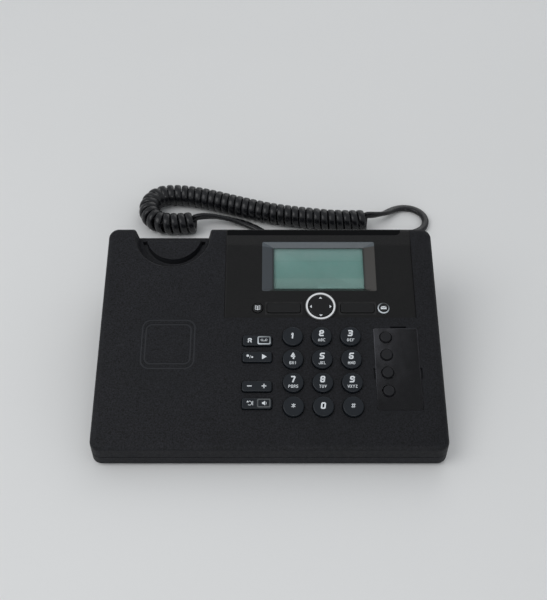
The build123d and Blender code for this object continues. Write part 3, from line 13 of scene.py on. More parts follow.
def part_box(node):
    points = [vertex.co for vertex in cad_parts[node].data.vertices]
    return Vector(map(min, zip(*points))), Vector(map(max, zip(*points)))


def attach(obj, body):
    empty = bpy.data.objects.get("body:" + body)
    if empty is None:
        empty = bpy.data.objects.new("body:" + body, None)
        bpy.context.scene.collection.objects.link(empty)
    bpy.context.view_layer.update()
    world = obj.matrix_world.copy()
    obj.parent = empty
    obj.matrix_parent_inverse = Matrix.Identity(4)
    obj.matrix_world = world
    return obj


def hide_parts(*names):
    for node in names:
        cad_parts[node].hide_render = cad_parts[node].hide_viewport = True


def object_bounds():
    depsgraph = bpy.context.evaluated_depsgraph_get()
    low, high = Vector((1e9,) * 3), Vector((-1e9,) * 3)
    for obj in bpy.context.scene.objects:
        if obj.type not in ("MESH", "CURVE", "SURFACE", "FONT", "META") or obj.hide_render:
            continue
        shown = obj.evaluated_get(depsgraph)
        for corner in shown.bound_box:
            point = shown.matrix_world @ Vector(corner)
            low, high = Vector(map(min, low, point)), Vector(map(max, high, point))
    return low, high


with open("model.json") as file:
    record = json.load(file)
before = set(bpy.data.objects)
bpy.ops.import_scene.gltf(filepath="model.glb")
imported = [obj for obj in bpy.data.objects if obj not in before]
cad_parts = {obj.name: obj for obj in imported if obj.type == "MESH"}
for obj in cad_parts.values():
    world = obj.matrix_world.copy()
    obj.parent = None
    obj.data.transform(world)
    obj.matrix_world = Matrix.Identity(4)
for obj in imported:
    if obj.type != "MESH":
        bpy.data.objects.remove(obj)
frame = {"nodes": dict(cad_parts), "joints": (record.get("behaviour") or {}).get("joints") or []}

bl_info = {
    "name": "Desk Telephone Base",
    "version": (1, 0, 0),
    "blender": (4, 5, 0),
    "location": "View3D > Sidebar > Telephone",
    "description": "Finishes, legends, cord and studio of a corded telephone base",
    "category": "Object",
}

CAD_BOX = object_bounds()
NODES = frame["nodes"]
MM = 0.001

# The sloping face: keys travel along its normal.
NORMAL = Vector(next(j["axis"] for j in frame["joints"] if j["name"] == "press_key_5")).normalized()
ACROSS = Vector((1, 0, 0))
UPRIGHT = Vector((0, 0, 1))
UP = NORMAL.cross(ACROSS)
FACE = Matrix((ACROSS, UP, NORMAL)).transposed().to_4x4()

# Millimetres, unless a line says metres. D is a distance down the face from its rear edge.
CASE_DEPTH = 156.4
GLASS_SIZE = Vector((62.0, 32.0)) * MM  # visible part of the display, metres
DISPLAY_D = 32.0
PANEL_SUNK = 0.9
REBATE = {"start": 3.1, "end": 7.6, "depth": 1.1, "left": 0.7, "right": 6.7, "corner": 3.8}
# Thickness and edge of the painted-shade strip in the rebate.
SHADE_STRIP = {"thickness": 0.35, "edge": 0.12}
BROW_END_D = 15.2
REST_INSET = 46.1
REST_D = 91.2
REST_GROOVES = {"half": 19.0, "floor": -0.6, "top": -0.15}
KEY_RIM = 1.6  # from a flush key's flat to the outside of its recess's rim
ARROWS = {"tip": 7.3, "back": 6.0, "half": 1.15, "forward": 0.7}  # round the navigation key's middle
FIGURE_LIFT = 2.0  # figure with letters under it, above the middle of its key
SIGN_LIFT = 0.3
LETTER_DROP = 2.9
CONTACT = {"pitch": 1.02, "radius": 0.22, "under_roof": 1.7, "from_front": 2.2}
CONTACTS = {  # in each modular socket: how many wires, and their points in from the rear and down
    "handset_jack": (4, [(1.6, 0)]), "line_jack": (6, [(1.6, 0), (1.2, 0.5), (5.5, 1.9)]),
}
COIL_POINTS = 12  # to one turn of the handset cord

# The studio, metres: each lamp's place and width, and the floor's profile from front to rear.
CAMERA_PLACE = (0.00255, -0.3982, 0.492)
SENSOR_WIDTH = 36
LAMPS = {
    "key": ((-0.95, -0.35, 1.35), 1.2),
    "fill": ((0.15, -1.5, 0.72), 0.75),
    "rear": ((0.45, 1.5, 0.9), 1.3),
}
FLOOR_PROFILE = [(-2.5, 0.0), (1.6, 0.0), (2.0, 0.06), (2.3, 0.25), (2.5, 0.6), (2.55, 2.5)]
FLOOR_HALF_WIDTH = 3.0
FLOOR_GAP = 0.0001
SKY = (0.93, 0.96, 1.0, 1)

NUMBER_KEYS = {
    "key_1": ("1", ""), "key_2": ("2", "ABC"), "key_3": ("3", "DEF"),
    "key_4": ("4", "GHI"), "key_5": ("5", "JKL"), "key_6": ("6", "MNO"),
    "key_7": ("7", "PQRS"), "key_8": ("8", "TUV"), "key_9": ("9", "WXYZ"),
    "key_star": ("*", ""), "key_0": ("0", ""), "key_hash": ("#", ""),
}
MEMORY_KEYS = [f"memory_key_{i}" for i in range(1, 5)]
ROCKERS = ["recall_loop_rocker", "record_play_rocker", "volume_rocker", "redial_speaker_rocker"]

# Strokes of each character on a grid 4 wide and 8 high: "xy xy ..." and | between strokes.
STROKES = {
    "0": "00 40 48 08 00", "1": "16 28 20", "2": "06 08 48 44 04 00 40", "3": "08 48 44 14|44 40 00",
    "4": "28 03 43|36 30", "5": "48 08 04 44 40 00", "6": "48 08 00 40 44 04", "7": "08 48 20",
    "8": "04 08 48 44 04 00 40 44", "9": "00 40 48 08 04 44", "*": "21 27|02 46|06 42",
    "#": "11 17|31 37|02 42|06 46", "A": "00 05 28 45 40|03 43", "B": "04 34 42 30 00 08 38 46 34",
    "C": "48 08 00 40", "D": "00 08 28 46 42 20 00", "E": "48 08 00 40|04 34", "F": "48 08 00|04 34",
    "G": "48 08 00 40 44 24", "H": "00 08|40 48|04 44", "I": "20 28", "J": "48 40 00 02",
    "K": "00 08|48 04 40", "L": "08 00 40", "M": "00 08 24 48 40", "N": "00 08 40 48",
    "O": "00 40 48 08 00", "P": "00 08 48 44 04", "Q": "00 40 48 08 00|22 40",
    "R": "00 08 48 44 04|24 40", "S": "48 08 04 44 40 00", "T": "08 48|28 20", "U": "08 00 40 48",
    "V": "08 20 48", "W": "08 10 24 30 48", "X": "00 48|08 40", "Y": "08 24 48|24 20",
    "Z": "08 48 00 40",
}

# The cord's route, the same points as its solids follow: across, behind the case and up.
CORD_Z = 2.3
COIL_Z = 8.55
LEAD_ROUTE = [
    (7.5, 1.4, 13.1), (7.5, 18.0, 13.1), (7.7, 32.6, 7.0), (4.6, 49.6, CORD_Z), (-8.9, 65.2, CORD_Z),
    (-27.6, 73.3, 4.4), (-46.64, 74.6, COIL_Z), (-61.46, 72.28, COIL_Z),
]
COIL_ROUTE = [(x, behind, COIL_Z) for x, behind in (
    (-60.5, 66.1), (-76.5, 63.6), (-92.0, 66.6), (-99.8, 81.8), (-93.6, 98.4), (-76.5, 100.6),
    (-54.5, 96.1), (-26.5, 85.9), (1.5, 76.5), (28.5, 71.8), (55.5, 67.7), (76.5, 68.6),
)]
TAIL_ROUTE = [
    (76.23, 74.84, COIL_Z), (85.22, 75.23, COIL_Z), (93.6, 80.3, 5.9), (101.4, 88.6, 3.0),
    (110.0, 91.5, CORD_Z), (118.6, 89.2, CORD_Z), (124.7, 82.7, CORD_Z), (126.3, 73.8, CORD_Z),
    (122.9, 65.5, CORD_Z), (115.6, 60.2, 3.0), (104.3, 56.1, 3.825), (94.5, 53.1, 3.825),
]


def paint(name, description, default):
    return bpy.props.FloatVectorProperty(
        name=name, description=description, default=default, subtype="COLOR", size=3, min=0, max=1
    )


def number(name, description, default, least=0, **settings):
    return bpy.props.FloatProperty(
        name=name, description=description, default=default, min=least, **settings
    )


def length(name, description, default):
    return number(name, description, default, 0.01 * MM, unit="LENGTH", precision=5)


class PhoneColours(bpy.types.PropertyGroup):
    """Colours of the finishes, linear."""

    case: paint("Case", "Matt plastic of the cover and the bottom case", (0.0090, 0.0094, 0.0118))
    panel: paint("Display panel", "Smooth plastic round the display", (0.0064, 0.0063, 0.0063))
    # Painted reflection: the panel's sloping rear band, lighter for the light it reflects.
    brow_reflection: paint("Brow", "Polished rear band of the display panel", (0.0125, 0.0122, 0.0120))
    # Painted shade: a near-black strip stands in for the shadow in the panel's rebate.
    rebate_shade: paint("Trim", "Glossy strip in the panel's rebate", (0.0012, 0.0013, 0.0016))
    bezel: paint("Display bezel", "Semi-gloss frame that slopes to the glass", (0.056, 0.057, 0.060))
    display: paint("Display", "Liquid crystal cell", (0.148, 0.305, 0.262))
    keys: paint("Keys", "Satin plastic of the number and rocker keys", (0.0085, 0.0112, 0.0150))
    memory_keys: paint("Memory keys", "Satin plastic of the small round keys", (0.0088, 0.0090, 0.0106))
    panel_keys: paint("Panel keys", "Satin plastic of the flush keys", (0.0048, 0.0048, 0.0050))
    label: paint("Label", "Card under the clear window", (0.0070, 0.0070, 0.0078))
    window: paint("Label window", "Clear sheet over the card, as it looks", (0.0100, 0.0100, 0.0110))
    legends: paint("Legends", "Printed figures and signs", (0.74, 0.77, 0.79))
    ring: paint("Ring", "Bright ring of the navigation key", (0.86, 0.87, 0.87))
    light_guide: paint("Light guides", "Translucent frames and ring", (0.66, 0.71, 0.74))
    cord: paint("Cord", "Jacket of the handset cord", (0.0060, 0.0063, 0.0078))
    floor: paint("Floor", "Studio floor and backdrop", (0.80, 0.80, 0.79))


class PhoneSizes(bpy.types.PropertyGroup):
    """Sizes of what is printed on the keys, and of the cord."""

    digit_height: length("Digit height", "Large figures on the number keys", 4.45 * MM)
    digit_width: length("Digit width", "Width of one large figure", 3.1 * MM)
    digit_weight: length("Digit weight", "Stroke of the large figures", 0.95 * MM)
    letter_height: length("Letter height", "Small letters under the figures", 2.05 * MM)
    letter_weight: length("Letter weight", "Stroke of the small letters", 0.32 * MM)
    ink: length("Ink", "Thickness of the printed ink", 0.03 * MM)
    cord_width: length("Cord width", "Oval wire, across its flat", 5.5 * MM)
    cord_thickness: length("Cord thickness", "Oval wire, through its flat", 3.8 * MM)
    coil_diameter: length("Coil diameter", "Outside of the curly part", 17.0 * MM)
    coil_pitch: length("Coil pitch", "Distance between the turns as it lies", 5.85 * MM)


class PhoneStudio(bpy.types.PropertyGroup):
    """Camera and lamps."""

    key_power: number("Key lamp", "Large soft lamp at the left", 7.0)
    fill_power: number("Fill lamp", "Soft low lamp in front", 3.5)
    rear_power: number("Rear lamp", "Soft low lamp behind", 3.5)
    world_strength: number("World", "Even light from all round", 0.55)
    lens: number("Lens", "Focal length on a 36 mm sensor", 54.3, 1)
    pitch: number("Pitch", "Camera's angle below the horizon", math.radians(46.6), subtype="ANGLE")


# ----- Finishes -------------------------------------------------------------------------------------
class Finish:
    """A material being made: a surface shader, the piece's own coordinates and nodes between them."""

    def __init__(self, name, colour, roughness=0.5, specular=0.5, **surface):
        self.material = bpy.data.materials.new(name)
        self.material.use_nodes = True
        self.tree = self.material.node_tree
        self.tree.nodes.clear()
        inputs = {"Base Color": (*colour, 1), "Roughness": roughness, "Specular IOR Level": specular}
        self.surface = self.add("BsdfPrincipled", {**inputs, **surface})
        output = self.add("OutputMaterial")
        self.tree.links.new(self.surface.outputs[0], output.inputs["Surface"])
        self.place = self.add("TexCoord").outputs["Object"]
        self.colour = colour

    def add(self, kind, inputs=None, **settings):
        node = self.tree.nodes.new("ShaderNode" + kind)
        for name, value in settings.items():
            setattr(node, name, value)
        for name, value in (inputs or {}).items():
            if isinstance(value, bpy.types.NodeSocket):
                self.tree.links.new(value, node.inputs[name])
            else:
                node.inputs[name].default_value = value
        return node

    def work_out(self, operation, *values):
        """A difference, a product or the like, of factors and numbers."""
        return self.add("Math", dict(enumerate(values)), operation=operation).outputs[0]

    def product(self, a, b):
        return self.work_out("MULTIPLY", a, b)

    def along(self, way):
        """Distance along a way, from the part's origin."""
        inputs = {0: self.place, 1: tuple(way)}
        return self.add("VectorMath", inputs, operation="DOT_PRODUCT").outputs["Value"]

    def noise(self, size, detail=3.0, stretch=(1, 1, 1)):
        """Soft noise with features of a size in metres."""
        mapped = self.add("Mapping", {"Vector": self.place, "Scale": [s / size for s in stretch]})
        inputs = {"Vector": mapped.outputs[0], "Scale": 1.0, "Detail": detail}
        return self.add("TexNoise", inputs).outputs["Fac"]

    def spread(self, factor, low, high, from_low=0.3, from_high=0.7):
        """A factor stretched to another range."""
        inputs = {"Value": factor, "From Min": from_low, "From Max": from_high}
        return self.add("MapRange", {**inputs, "To Min": low, "To Max": high}).outputs["Result"]

    def ramp(self, factor, stops, interpolation="LINEAR"):
        """Colours at positions along a factor."""
        node = self.add("ValToRGB", {"Fac": factor})
        node.color_ramp.interpolation = interpolation
        elements = node.color_ramp.elements
        while len(elements) < len(stops):
            elements.new(0.5)
        for element, (position, colour) in zip(elements, stops):
            element.position, element.color = position, (*colour, 1)
        return node.outputs["Color"]

    def show(self, colour):
        """Gives the surface a colour, and hands it on."""
        self.tree.links.new(colour, self.surface.inputs["Base Color"])
        return colour

    def mottle(self, size, amount, tint=(1, 1, 1)):
        """Lets the colour drift a little, lighter and darker."""
        dark = [c * (1 - amount) for c in self.colour]
        light = [min(1.0, c * (1 + amount) * t) for c, t in zip(self.colour, tint)]
        return self.show(self.ramp(self.noise(size), [(0.3, dark), (0.7, light)]))

    def scale(self, colour, factor):
        """Makes a colour lighter or darker by a factor."""
        scaled = self.add("VectorMath", {0: colour, "Scale": factor}, operation="SCALE")
        return self.show(scaled.outputs["Vector"])

    def speckle(self, colour, size, amount):
        """Adds fine light and dark specks to a colour."""
        return self.scale(colour, self.spread(self.noise(size, 4.0), 1 - amount, 1 + amount, 0.32, 0.68))

    def shade_along(self, colour, way, centre, reach, dark):
        """Painted light and shade: dims a colour against a way across a place."""
        middle = centre.dot(way)
        return self.scale(colour, self.spread(self.along(way), dark, 1.0, middle - reach, middle + reach))

    def within(self, centre, across, up, low, high):
        """1 within a reach across and up the face from a place, and between two distances out of it."""
        inside = None
        for axis, start, end in ((ACROSS, -across, across), (UP, -up, up), (NORMAL, low, high)):
            middle, reach = centre.dot(axis) + (start + end) / 2, (end - start) / 2
            mask = self.work_out("COMPARE", self.along(axis), middle, reach)
            inside = self.product(inside, mask) if inside else mask
        return inside

    def veil(self, colour, other, factor):
        """Lays another colour over a colour where a factor says so."""
        mix = self.add("Mix", {"Factor": factor, "A": colour, "B": (*other, 1)}, data_type="RGBA")
        return self.show(mix.outputs["Result"])

    def done(self, roughness, relief=None):
        """Gives the surface a range of roughness and a relief, and hands over the material."""
        size, low, high = roughness
        self.tree.links.new(self.spread(self.noise(size), low, high), self.surface.inputs["Roughness"])
        if relief:
            self.grain(*relief)
        return self.material

    def grain(self, size, height, strength=0.5, detail=2.0, stretch=(1, 1, 1)):
        """Fine relief."""
        inputs = {"Height": self.noise(size, detail, stretch), "Strength": strength, "Distance": height}
        self.tree.links.new(self.add("Bump", inputs).outputs["Normal"], self.surface.inputs["Normal"])


def tinted(colour, factors):
    return [c * f for c, f in zip(colour, factors)]


def even_finish(name, colour, mottle, roughness, relief, **surface):
    """Material whose colour drifts a little."""
    finish = Finish(name, colour, **surface)
    finish.mottle(*mottle)
    return finish.done(roughness, relief)


def textured_plastic(
    name, colour, roughness=(0.50, 0.64), relief=(0.42 * MM, 0.05 * MM), paler=None, painted_shade=None
):
    """Spark-textured moulded plastic, speckled. Where they are given, a box of the face's directions is
    painted paler, as painted light, and the colour is dimmed along a way, as painted shade.
    """
    finish = Finish(name, colour, specular=0.22)
    speckled = finish.speckle(finish.mottle(22 * MM, 0.12, (1.0, 0.99, 0.98)), 0.85 * MM, 0.9)
    # Painted shade: the colour is dimmed along a way.
    if painted_shade:
        speckled = finish.shade_along(speckled, *painted_shade)
    # Painted light: inside the box the colour is paler.
    if paler:
        finish.veil(speckled, tinted(colour, (3.0, 3.0, 2.7)), finish.within(*paler))
    return finish.done((2.5 * MM, *roughness), relief)


def satin_plastic(name, colour, roughness=(0.30, 0.40), mottle=0.08, specular=0.3):
    """Smooth moulded plastic with a faint unevenness."""
    relief = (1.2 * MM, 0.01 * MM, 0.3)
    return even_finish(name, colour, (6 * MM, mottle), (1.6 * MM, *roughness), relief, specular=specular)


def translucent_plastic(name, colour, alpha, roughness, lit=None):
    """Milky or clear moulded plastic; where lit gives it, painted light makes it brighter to one side."""
    finish = Finish(name, colour, **{"Alpha": alpha, "IOR": 1.49, "Coat Weight": 0.3})
    even = finish.mottle(2 * MM, 0.10)
    if lit:
        # Painted light: brighter to one side.
        finish.shade_along(even, *lit)
    return finish.done((1.2 * MM, roughness * 0.8, roughness * 1.2), (0.9 * MM, 0.01 * MM, 0.2))


def turned_metal(name, colour, roughness=(0.25, 0.38)):
    """Plated or spun metal with fine lines."""
    lines = (0.25 * MM, 0.01 * MM, 0.3, 2.0, (1, 1, 6))
    return even_finish(name, colour, (1.5 * MM, 0.10), (0.4 * MM, *roughness), lines, Metallic=1.0)


def soft_rubber(name, colour, roughness=(0.55, 0.75)):
    relief = (0.5 * MM, 0.03 * MM, 0.4)
    surface = {"specular": 0.35, "Sheen Weight": 0.15}
    return even_finish(name, colour, (3 * MM, 0.12), (1.0 * MM, *roughness), relief, **surface)


def printed_board(name):
    """Green solder mask over copper tracks."""
    mask, track = (0.010, 0.075, 0.030), (0.030, 0.140, 0.055)
    finish = Finish(name, mask)
    mapped = finish.add("Mapping", {"Vector": finish.place, "Rotation": (0, 0, math.radians(45))})
    inputs = {"Vector": mapped.outputs[0], "Scale": 260.0}
    cells = finish.add("TexVoronoi", inputs, feature="DISTANCE_TO_EDGE", distance="MANHATTAN")
    finish.show(finish.ramp(cells.outputs["Distance"], [(0.0, track), (0.10, mask)], "CONSTANT"))
    return finish.done((2 * MM, 0.28, 0.40), (1.0 * MM, 0.02 * MM, 0.3))


def ribbed_film(name, colour):
    """Flat cable with its conductors side by side."""
    finish = Finish(name, colour)
    inputs = {"Vector": finish.place, "Scale": 400.0, "Distortion": 0.0}
    waves = finish.add("TexWave", inputs, wave_type="BANDS", bands_direction="X")
    finish.show(finish.ramp(waves.outputs["Fac"], [(0.0, [c * 0.7 for c in colour]), (1.0, colour)]))
    return finish.done((2 * MM, 0.3, 0.42))


def liquid_crystal(name, colour, centre, size):
    """Reflective grey-green cell: a faint grid of dots, painted bands of light and shade across its height,
    and a painted reflection that pales it towards its upper left corner.
    """
    finish = Finish(name, colour, specular=0.25)
    flat = FACE.transposed()
    inputs = {"Vector": finish.place, "Location": flat @ -centre, "Rotation": flat.to_euler()}
    turned = finish.add("Mapping", inputs)
    parts = finish.add("SeparateXYZ", {"Vector": turned.outputs[0]})
    rise = finish.spread(parts.outputs["Y"], 0.0, 1.0, -size.y / 2, size.y / 2)
    side = finish.spread(parts.outputs["X"], 0.0, 1.0, -size.x / 2, size.x / 2)
    # Painted light and shade across the cell's height: pale reflected bands, a thin dark line and a darker
    # lower edge.
    bands = [  # height, then red, green and blue against the plain colour
        (0.00, (0.74, 1.00, 0.90)), (0.035, (1.38, 1.22, 1.26)), (0.26, (1.34, 1.21, 1.25)),
        (0.30, (1.02, 1.11, 1.13)), (0.69, (0.97, 1.09, 1.12)), (0.71, (0.92, 1.01, 1.04)),
        (0.73, (1.10, 1.12, 1.15)), (0.92, (1.33, 1.17, 1.25)), (1.00, (1.10, 1.04, 1.10)),
    ]
    shade = finish.ramp(rise, [(height, tinted(colour, factors)) for height, factors in bands])
    dot, pitch = (0.975, 0.975, 0.975, 1), 0.62 * MM
    inputs = {"Vector": turned.outputs[0], "Scale": 1.0, "Mortar Size": 0.05 * MM, "Mortar": (1, 1, 1, 1)}
    inputs.update({"Brick Width": pitch, "Row Height": pitch, "Color1": dot, "Color2": dot})
    dots = finish.add("TexBrick", inputs, offset=0.0)
    inputs = {"Factor": 1.0, "A": shade, "B": dots.outputs["Color"]}
    grid = finish.add("Mix", inputs, data_type="RGBA", blend_type="MULTIPLY")
    # Painted reflection: paler towards the upper left corner, in patches.
    corner = finish.product(finish.work_out("SUBTRACT", 1.0, side), rise)
    pale_corner = finish.product(corner, finish.spread(finish.noise(9 * MM), 0.4, 1.0))
    finish.veil(grid.outputs["Result"], (0.42, 0.50, 0.48), finish.spread(pale_corner, 0.0, 0.22, 0.25, 1.0))
    return finish.done((1.5 * MM, 0.38, 0.46))


def panel_finish(name, colour, brow_reflection, edge, left, recesses):
    """Smooth panel plastic; its rear band is painted lighter as painted reflection, and its left edge and
    the rims of the flush keys' recesses are paler as painted highlights in patches.
    """
    finish = Finish(name, colour, specular=0.22)
    # Painted reflection on the panel's rear band.
    band = finish.spread(finish.along(UP), 0.0, 1.0, edge - 0.8 * MM, edge + 0.8 * MM)
    plain = finish.veil(finish.mottle(16 * MM, 0.10, (1.0, 0.99, 0.98)), brow_reflection, band)
    plain = finish.speckle(plain, 0.8 * MM, 0.35)
    # Painted highlights, partly dusty, along the left edge and round the rims of the flush keys' recesses,
    # in patches.
    dust_and_sheen = finish.spread(finish.noise(2.5 * MM), 0.3, 1.0)
    strip = finish.spread(finish.along(ACROSS), 1.0, 0.0, left + 0.8 * MM, left + 1.0 * MM)
    masks = [strip] + [finish.within(place, across, up, -MM, MM) for place, across, up in recesses]
    for mask in masks:
        plain = finish.veil(plain, [3.4 * c for c in colour], finish.product(mask, dust_and_sheen))
    return finish.done((3 * MM, 0.42, 0.52), (0.5 * MM, 0.03 * MM, 0.35))


def bezel_plastic(name, colour, centre, size):
    """Semi-gloss frame with painted reflections: cooler at the left, warmer at the right, palest above the
    glass; and painted shade below the glass and along its sides.
    """
    finish = Finish(name, colour, specular=0.45)
    even = finish.mottle(6 * MM, 0.06)
    cool_reflection, warm_reflection, sky_reflection, dark = [tinted(colour, factors) for factors in (
        (0.86, 1.00, 1.09), (0.87, 0.79, 0.68), (1.62, 1.88, 2.00), (0.08, 0.17, 0.12)
    )]
    along, rise = finish.along(ACROSS), finish.along(UP)
    # Painted reflections: cooler at the left, warmer at the right, palest above the glass.
    even = finish.veil(even, cool_reflection, finish.spread(along, 0.9, 0.0, centre.x - 0.4 * size.x, centre.x))
    even = finish.veil(even, warm_reflection, finish.spread(along, 0.0, 1.0, centre.x, centre.x + 0.4 * size.x))
    top = centre.dot(UP) + size.y / 2
    even = finish.veil(even, sky_reflection, finish.spread(rise, 0.0, 0.9, top - 0.3 * MM, top + 0.3 * MM))
    # Reach out beside the glass and below it; the lower slope ends at the mitres, where they are the same.
    aside = finish.work_out("ABSOLUTE", finish.work_out("SUBTRACT", along, centre.x))
    beside = finish.work_out("SUBTRACT", aside, size.x / 2)
    under = finish.work_out("SUBTRACT", top - size.y, rise)
    lower = finish.work_out("SUBTRACT", under, beside)
    # Painted shade below the glass.
    even = finish.veil(even, dark, finish.spread(lower, 0.0, 0.95, 0.0, 0.3 * MM))
    # Painted shade along the sides of the glass.
    sides = finish.spread(rise, 1.0, 0.0, top - 0.5 * MM, top - 0.2 * MM)
    near = finish.spread(beside, 0.8, 0.0, 0.3 * MM, 1.6 * MM)
    finish.veil(even, dark, finish.product(sides, near))
    return finish.done((1.6 * MM, 0.30, 0.38), (1.2 * MM, 0.01 * MM, 0.3))


def pale_corner_window(name, colour, pale_corner, rim, low, high):
    """Clear moulded sheet over a dark card, paler in patches towards its upper left corner, with painted
    highlights along its left, right and upper edges.
    """
    finish = Finish(name, colour, specular=0.2, Alpha=0.85, IOR=1.49)
    even = finish.mottle(4 * MM, 0.15)
    x, y = finish.along((1, 0, 0)), finish.along((0, 1, 0))
    from_left = finish.spread(x, 1.0, 0.0, low.x, high.x)
    from_top = finish.spread(y, 0.0, 1.0, low.y, high.y)
    corner = finish.product(from_left, from_top)
    patches = finish.spread(finish.noise(7 * MM, 3.0, (1, 0.5, 1)), 0.35, 1.0, 0.35, 0.65)
    patchy = finish.product(corner, patches)
    even = finish.veil(even, pale_corner, finish.spread(patchy, 0.0, 1.0, 0.05, 0.7))
    # Painted highlights along the left, right and upper edges, fading downwards.
    edges = (
        finish.spread(x, 1.0, 0.0, low.x + 0.35 * MM, low.x + 0.60 * MM),
        finish.spread(x, 0.0, 0.4, high.x - 0.60 * MM, high.x - 0.35 * MM),
        finish.spread(y, 0.0, 0.5, high.y - 0.70 * MM, high.y - 0.45 * MM),
    )
    for edge in edges:
        even = finish.veil(even, rim, finish.product(edge, from_top))
    return finish.done((2.5 * MM, 0.3, 0.42), (0.8 * MM, 0.01 * MM, 0.2))


def display_glass(name):
    """Clear window with a faint film."""
    finish = Finish(name, (0.62, 0.70, 0.68), IOR=1.5)
    finish.mottle(8 * MM, 0.05)
    film = finish.spread(finish.noise(5 * MM), 0.06, 0.10)
    finish.tree.links.new(film, finish.surface.inputs["Alpha"])
    return finish.done((4 * MM, 0.10, 0.16))


def give(material, *nodes):
    """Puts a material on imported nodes."""
    for node in nodes:
        mesh = NODES[node].data
        mesh.materials.clear()
        mesh.materials.append(material)


# ----- Shapes ---------------------------------------------------------------------------------------
def face_flat(node):
    """Middle of a node's highest flat, as distances across, up and out of the face, and its half sizes."""
    points = [v.co for v in NODES[node].data.vertices]
    high = max(p.dot(NORMAL) for p in points)
    top = [p for p in points if p.dot(NORMAL) > high - 0.02 * MM]
    across, up = [p.x for p in top], [p.dot(UP) for p in top]
    middle = Vector(((min(across) + max(across)) / 2, (min(up) + max(up)) / 2, high))
    return middle, (max(across) - min(across)) / 2, (max(up) - min(up)) / 2


def face_top(node):
    return face_flat(node)[0]


def on_face(u, d, h):
    """Distances across, up and out of the face in metres, from millimetres across, down and out of it."""
    display = face_top("lcd_bezel")
    return Vector((u * MM, display.y + (DISPLAY_D - d) * MM, display.z + (PANEL_SUNK + h) * MM))


def mesh_from(name, bm):
    mesh = bpy.data.meshes.new(name)
    bm.to_mesh(mesh)
    bm.free()
    return mesh


def placed(name, data):
    """A new object in the scene."""
    item = bpy.data.objects.new(name, data)
    bpy.context.scene.collection.objects.link(item)
    return item


def new_piece(name, mesh, body, material, smooth=False):
    piece = placed(name, mesh)
    mesh.materials.append(material)
    for polygon in mesh.polygons:
        polygon.use_smooth = smooth
    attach(piece, body)
    return piece


def softened(points, cut):
    """A run of straight strokes with its corners cut."""
    closed = points[0] == points[-1]
    ring = points[:-1] if closed else points
    made = []
    for i, point in enumerate(ring):
        if not closed and i in (0, len(ring) - 1):
            made.append(point)
            continue
        for other in (ring[i - 1], ring[(i + 1) % len(ring)]):
            way = other - point
            made.append(point + way.normalized() * min(cut, way.length * 0.45))
    return made + [made[0]] if closed else made


def lengthened(points, reach):
    """A run of strokes whose free ends are square to their full weight."""
    if points[0] == points[-1]:
        return points
    start = points[0] + (points[0] - points[1]).normalized() * reach
    end = points[-1] + (points[-1] - points[-2]).normalized() * reach
    return [start, *points[1:-1], end]


def add_ribbon(bm, points, weight):
    """Flat band of even width along a run of points; it closes on itself if the run does."""
    points = [Vector(point) for point in points]
    closed = (points[0] - points[-1]).length < 1e-9
    ring = points[:-1] if closed else points
    count = len(ring)
    pairs = []
    for i, point in enumerate(ring):
        ways = [(point - ring[i - 1]).normalized()] if closed or i > 0 else []
        ways += [(ring[(i + 1) % count] - point).normalized()] if closed or i < count - 1 else []
        sides = [Vector((-way.y, way.x)) for way in ways]
        side = sum(sides, Vector((0, 0))) / (1 + sides[0].dot(sides[-1])) if len(sides) == 2 else sides[0]
        side *= weight / 2
        pairs.append([bm.verts.new((*(point + s * side), 0)) for s in (1, -1)])
    last = count if closed else count - 1
    for i in range(last):
        (a, b), (c, d) = pairs[i], pairs[(i + 1) % count]
        bm.faces.new((a, b, d, c))


def thicken(bm, height):
    """Raises flat faces by a height, with walls round them, and returns the raised vertices."""
    made = bmesh.ops.extrude_face_region(bm, geom=bm.faces[:])["geom"]
    raised = [v for v in made if isinstance(v, bmesh.types.BMVert)]
    bmesh.ops.translate(bm, verts=raised, vec=(0, 0, height))
    return raised


def arc(x, y, radius, start, step, count):
    """Points round a place, from an angle in degrees on in even steps."""
    angles = [math.radians(start + step * i) for i in range(count)]
    return [Vector((x + radius * math.cos(a), y + radius * math.sin(a))) for a in angles]


def circle(x, y, radius):
    points = arc(x, y, radius, 0, 15, 24)
    return points + [points[0]]


def written(text, height, width, weight, gap, slant=0.0):
    """Strokes of a word, centred, in millimetres."""
    inner_height, inner_width = height - weight, width - weight
    step = width + gap
    start = -(len(text) - 1) * step / 2
    runs = []
    for i, character in enumerate(text):
        for run in STROKES[character].split("|"):
            points = []
            for code in run.split():
                x = (int(code[0]) / 4 - 0.5) * inner_width
                y = (int(code[1]) / 8 - 0.5) * inner_height
                points.append(Vector((start + i * step + x + slant * y, y)))
            points = lengthened(points, weight / 2)
            runs.append(softened(points, inner_height * 0.12) if len(points) > 2 else points)
    return runs


def print_legend(name, node, drawings, ink, forward=0.0):
    """Ink round a key's middle, or forward of it: ribbons (points, weight) and filled shapes (points,)."""
    bm = bmesh.new()
    for points, *weight in drawings:
        if weight:
            add_ribbon(bm, points, *weight)
        else:
            bm.faces.new([bm.verts.new((x, y, 0)) for x, y in points])
    thicken(bm, bpy.context.scene.phone_sizes.ink / MM)
    bmesh.ops.recalc_face_normals(bm, faces=bm.faces[:])
    mesh = mesh_from(name, bm)
    place = face_top(node) - Vector((0, forward * MM, 0))
    mesh.transform(FACE @ Matrix.Translation(place) @ Matrix.Scale(MM, 4))
    return new_piece(name, mesh, node, ink)


def moved(points, x, y):
    return [(p[0] + x, p[1] + y) for p in points]


# ----- Cord -----------------------------------------------------------------------------------------
def route(points):
    """A route in metres, in the part's own frame."""
    rear = CAD_BOX[0].y + CASE_DEPTH * MM
    return [Vector((x * MM, rear + behind * MM, z * MM)) for x, behind, z in points]


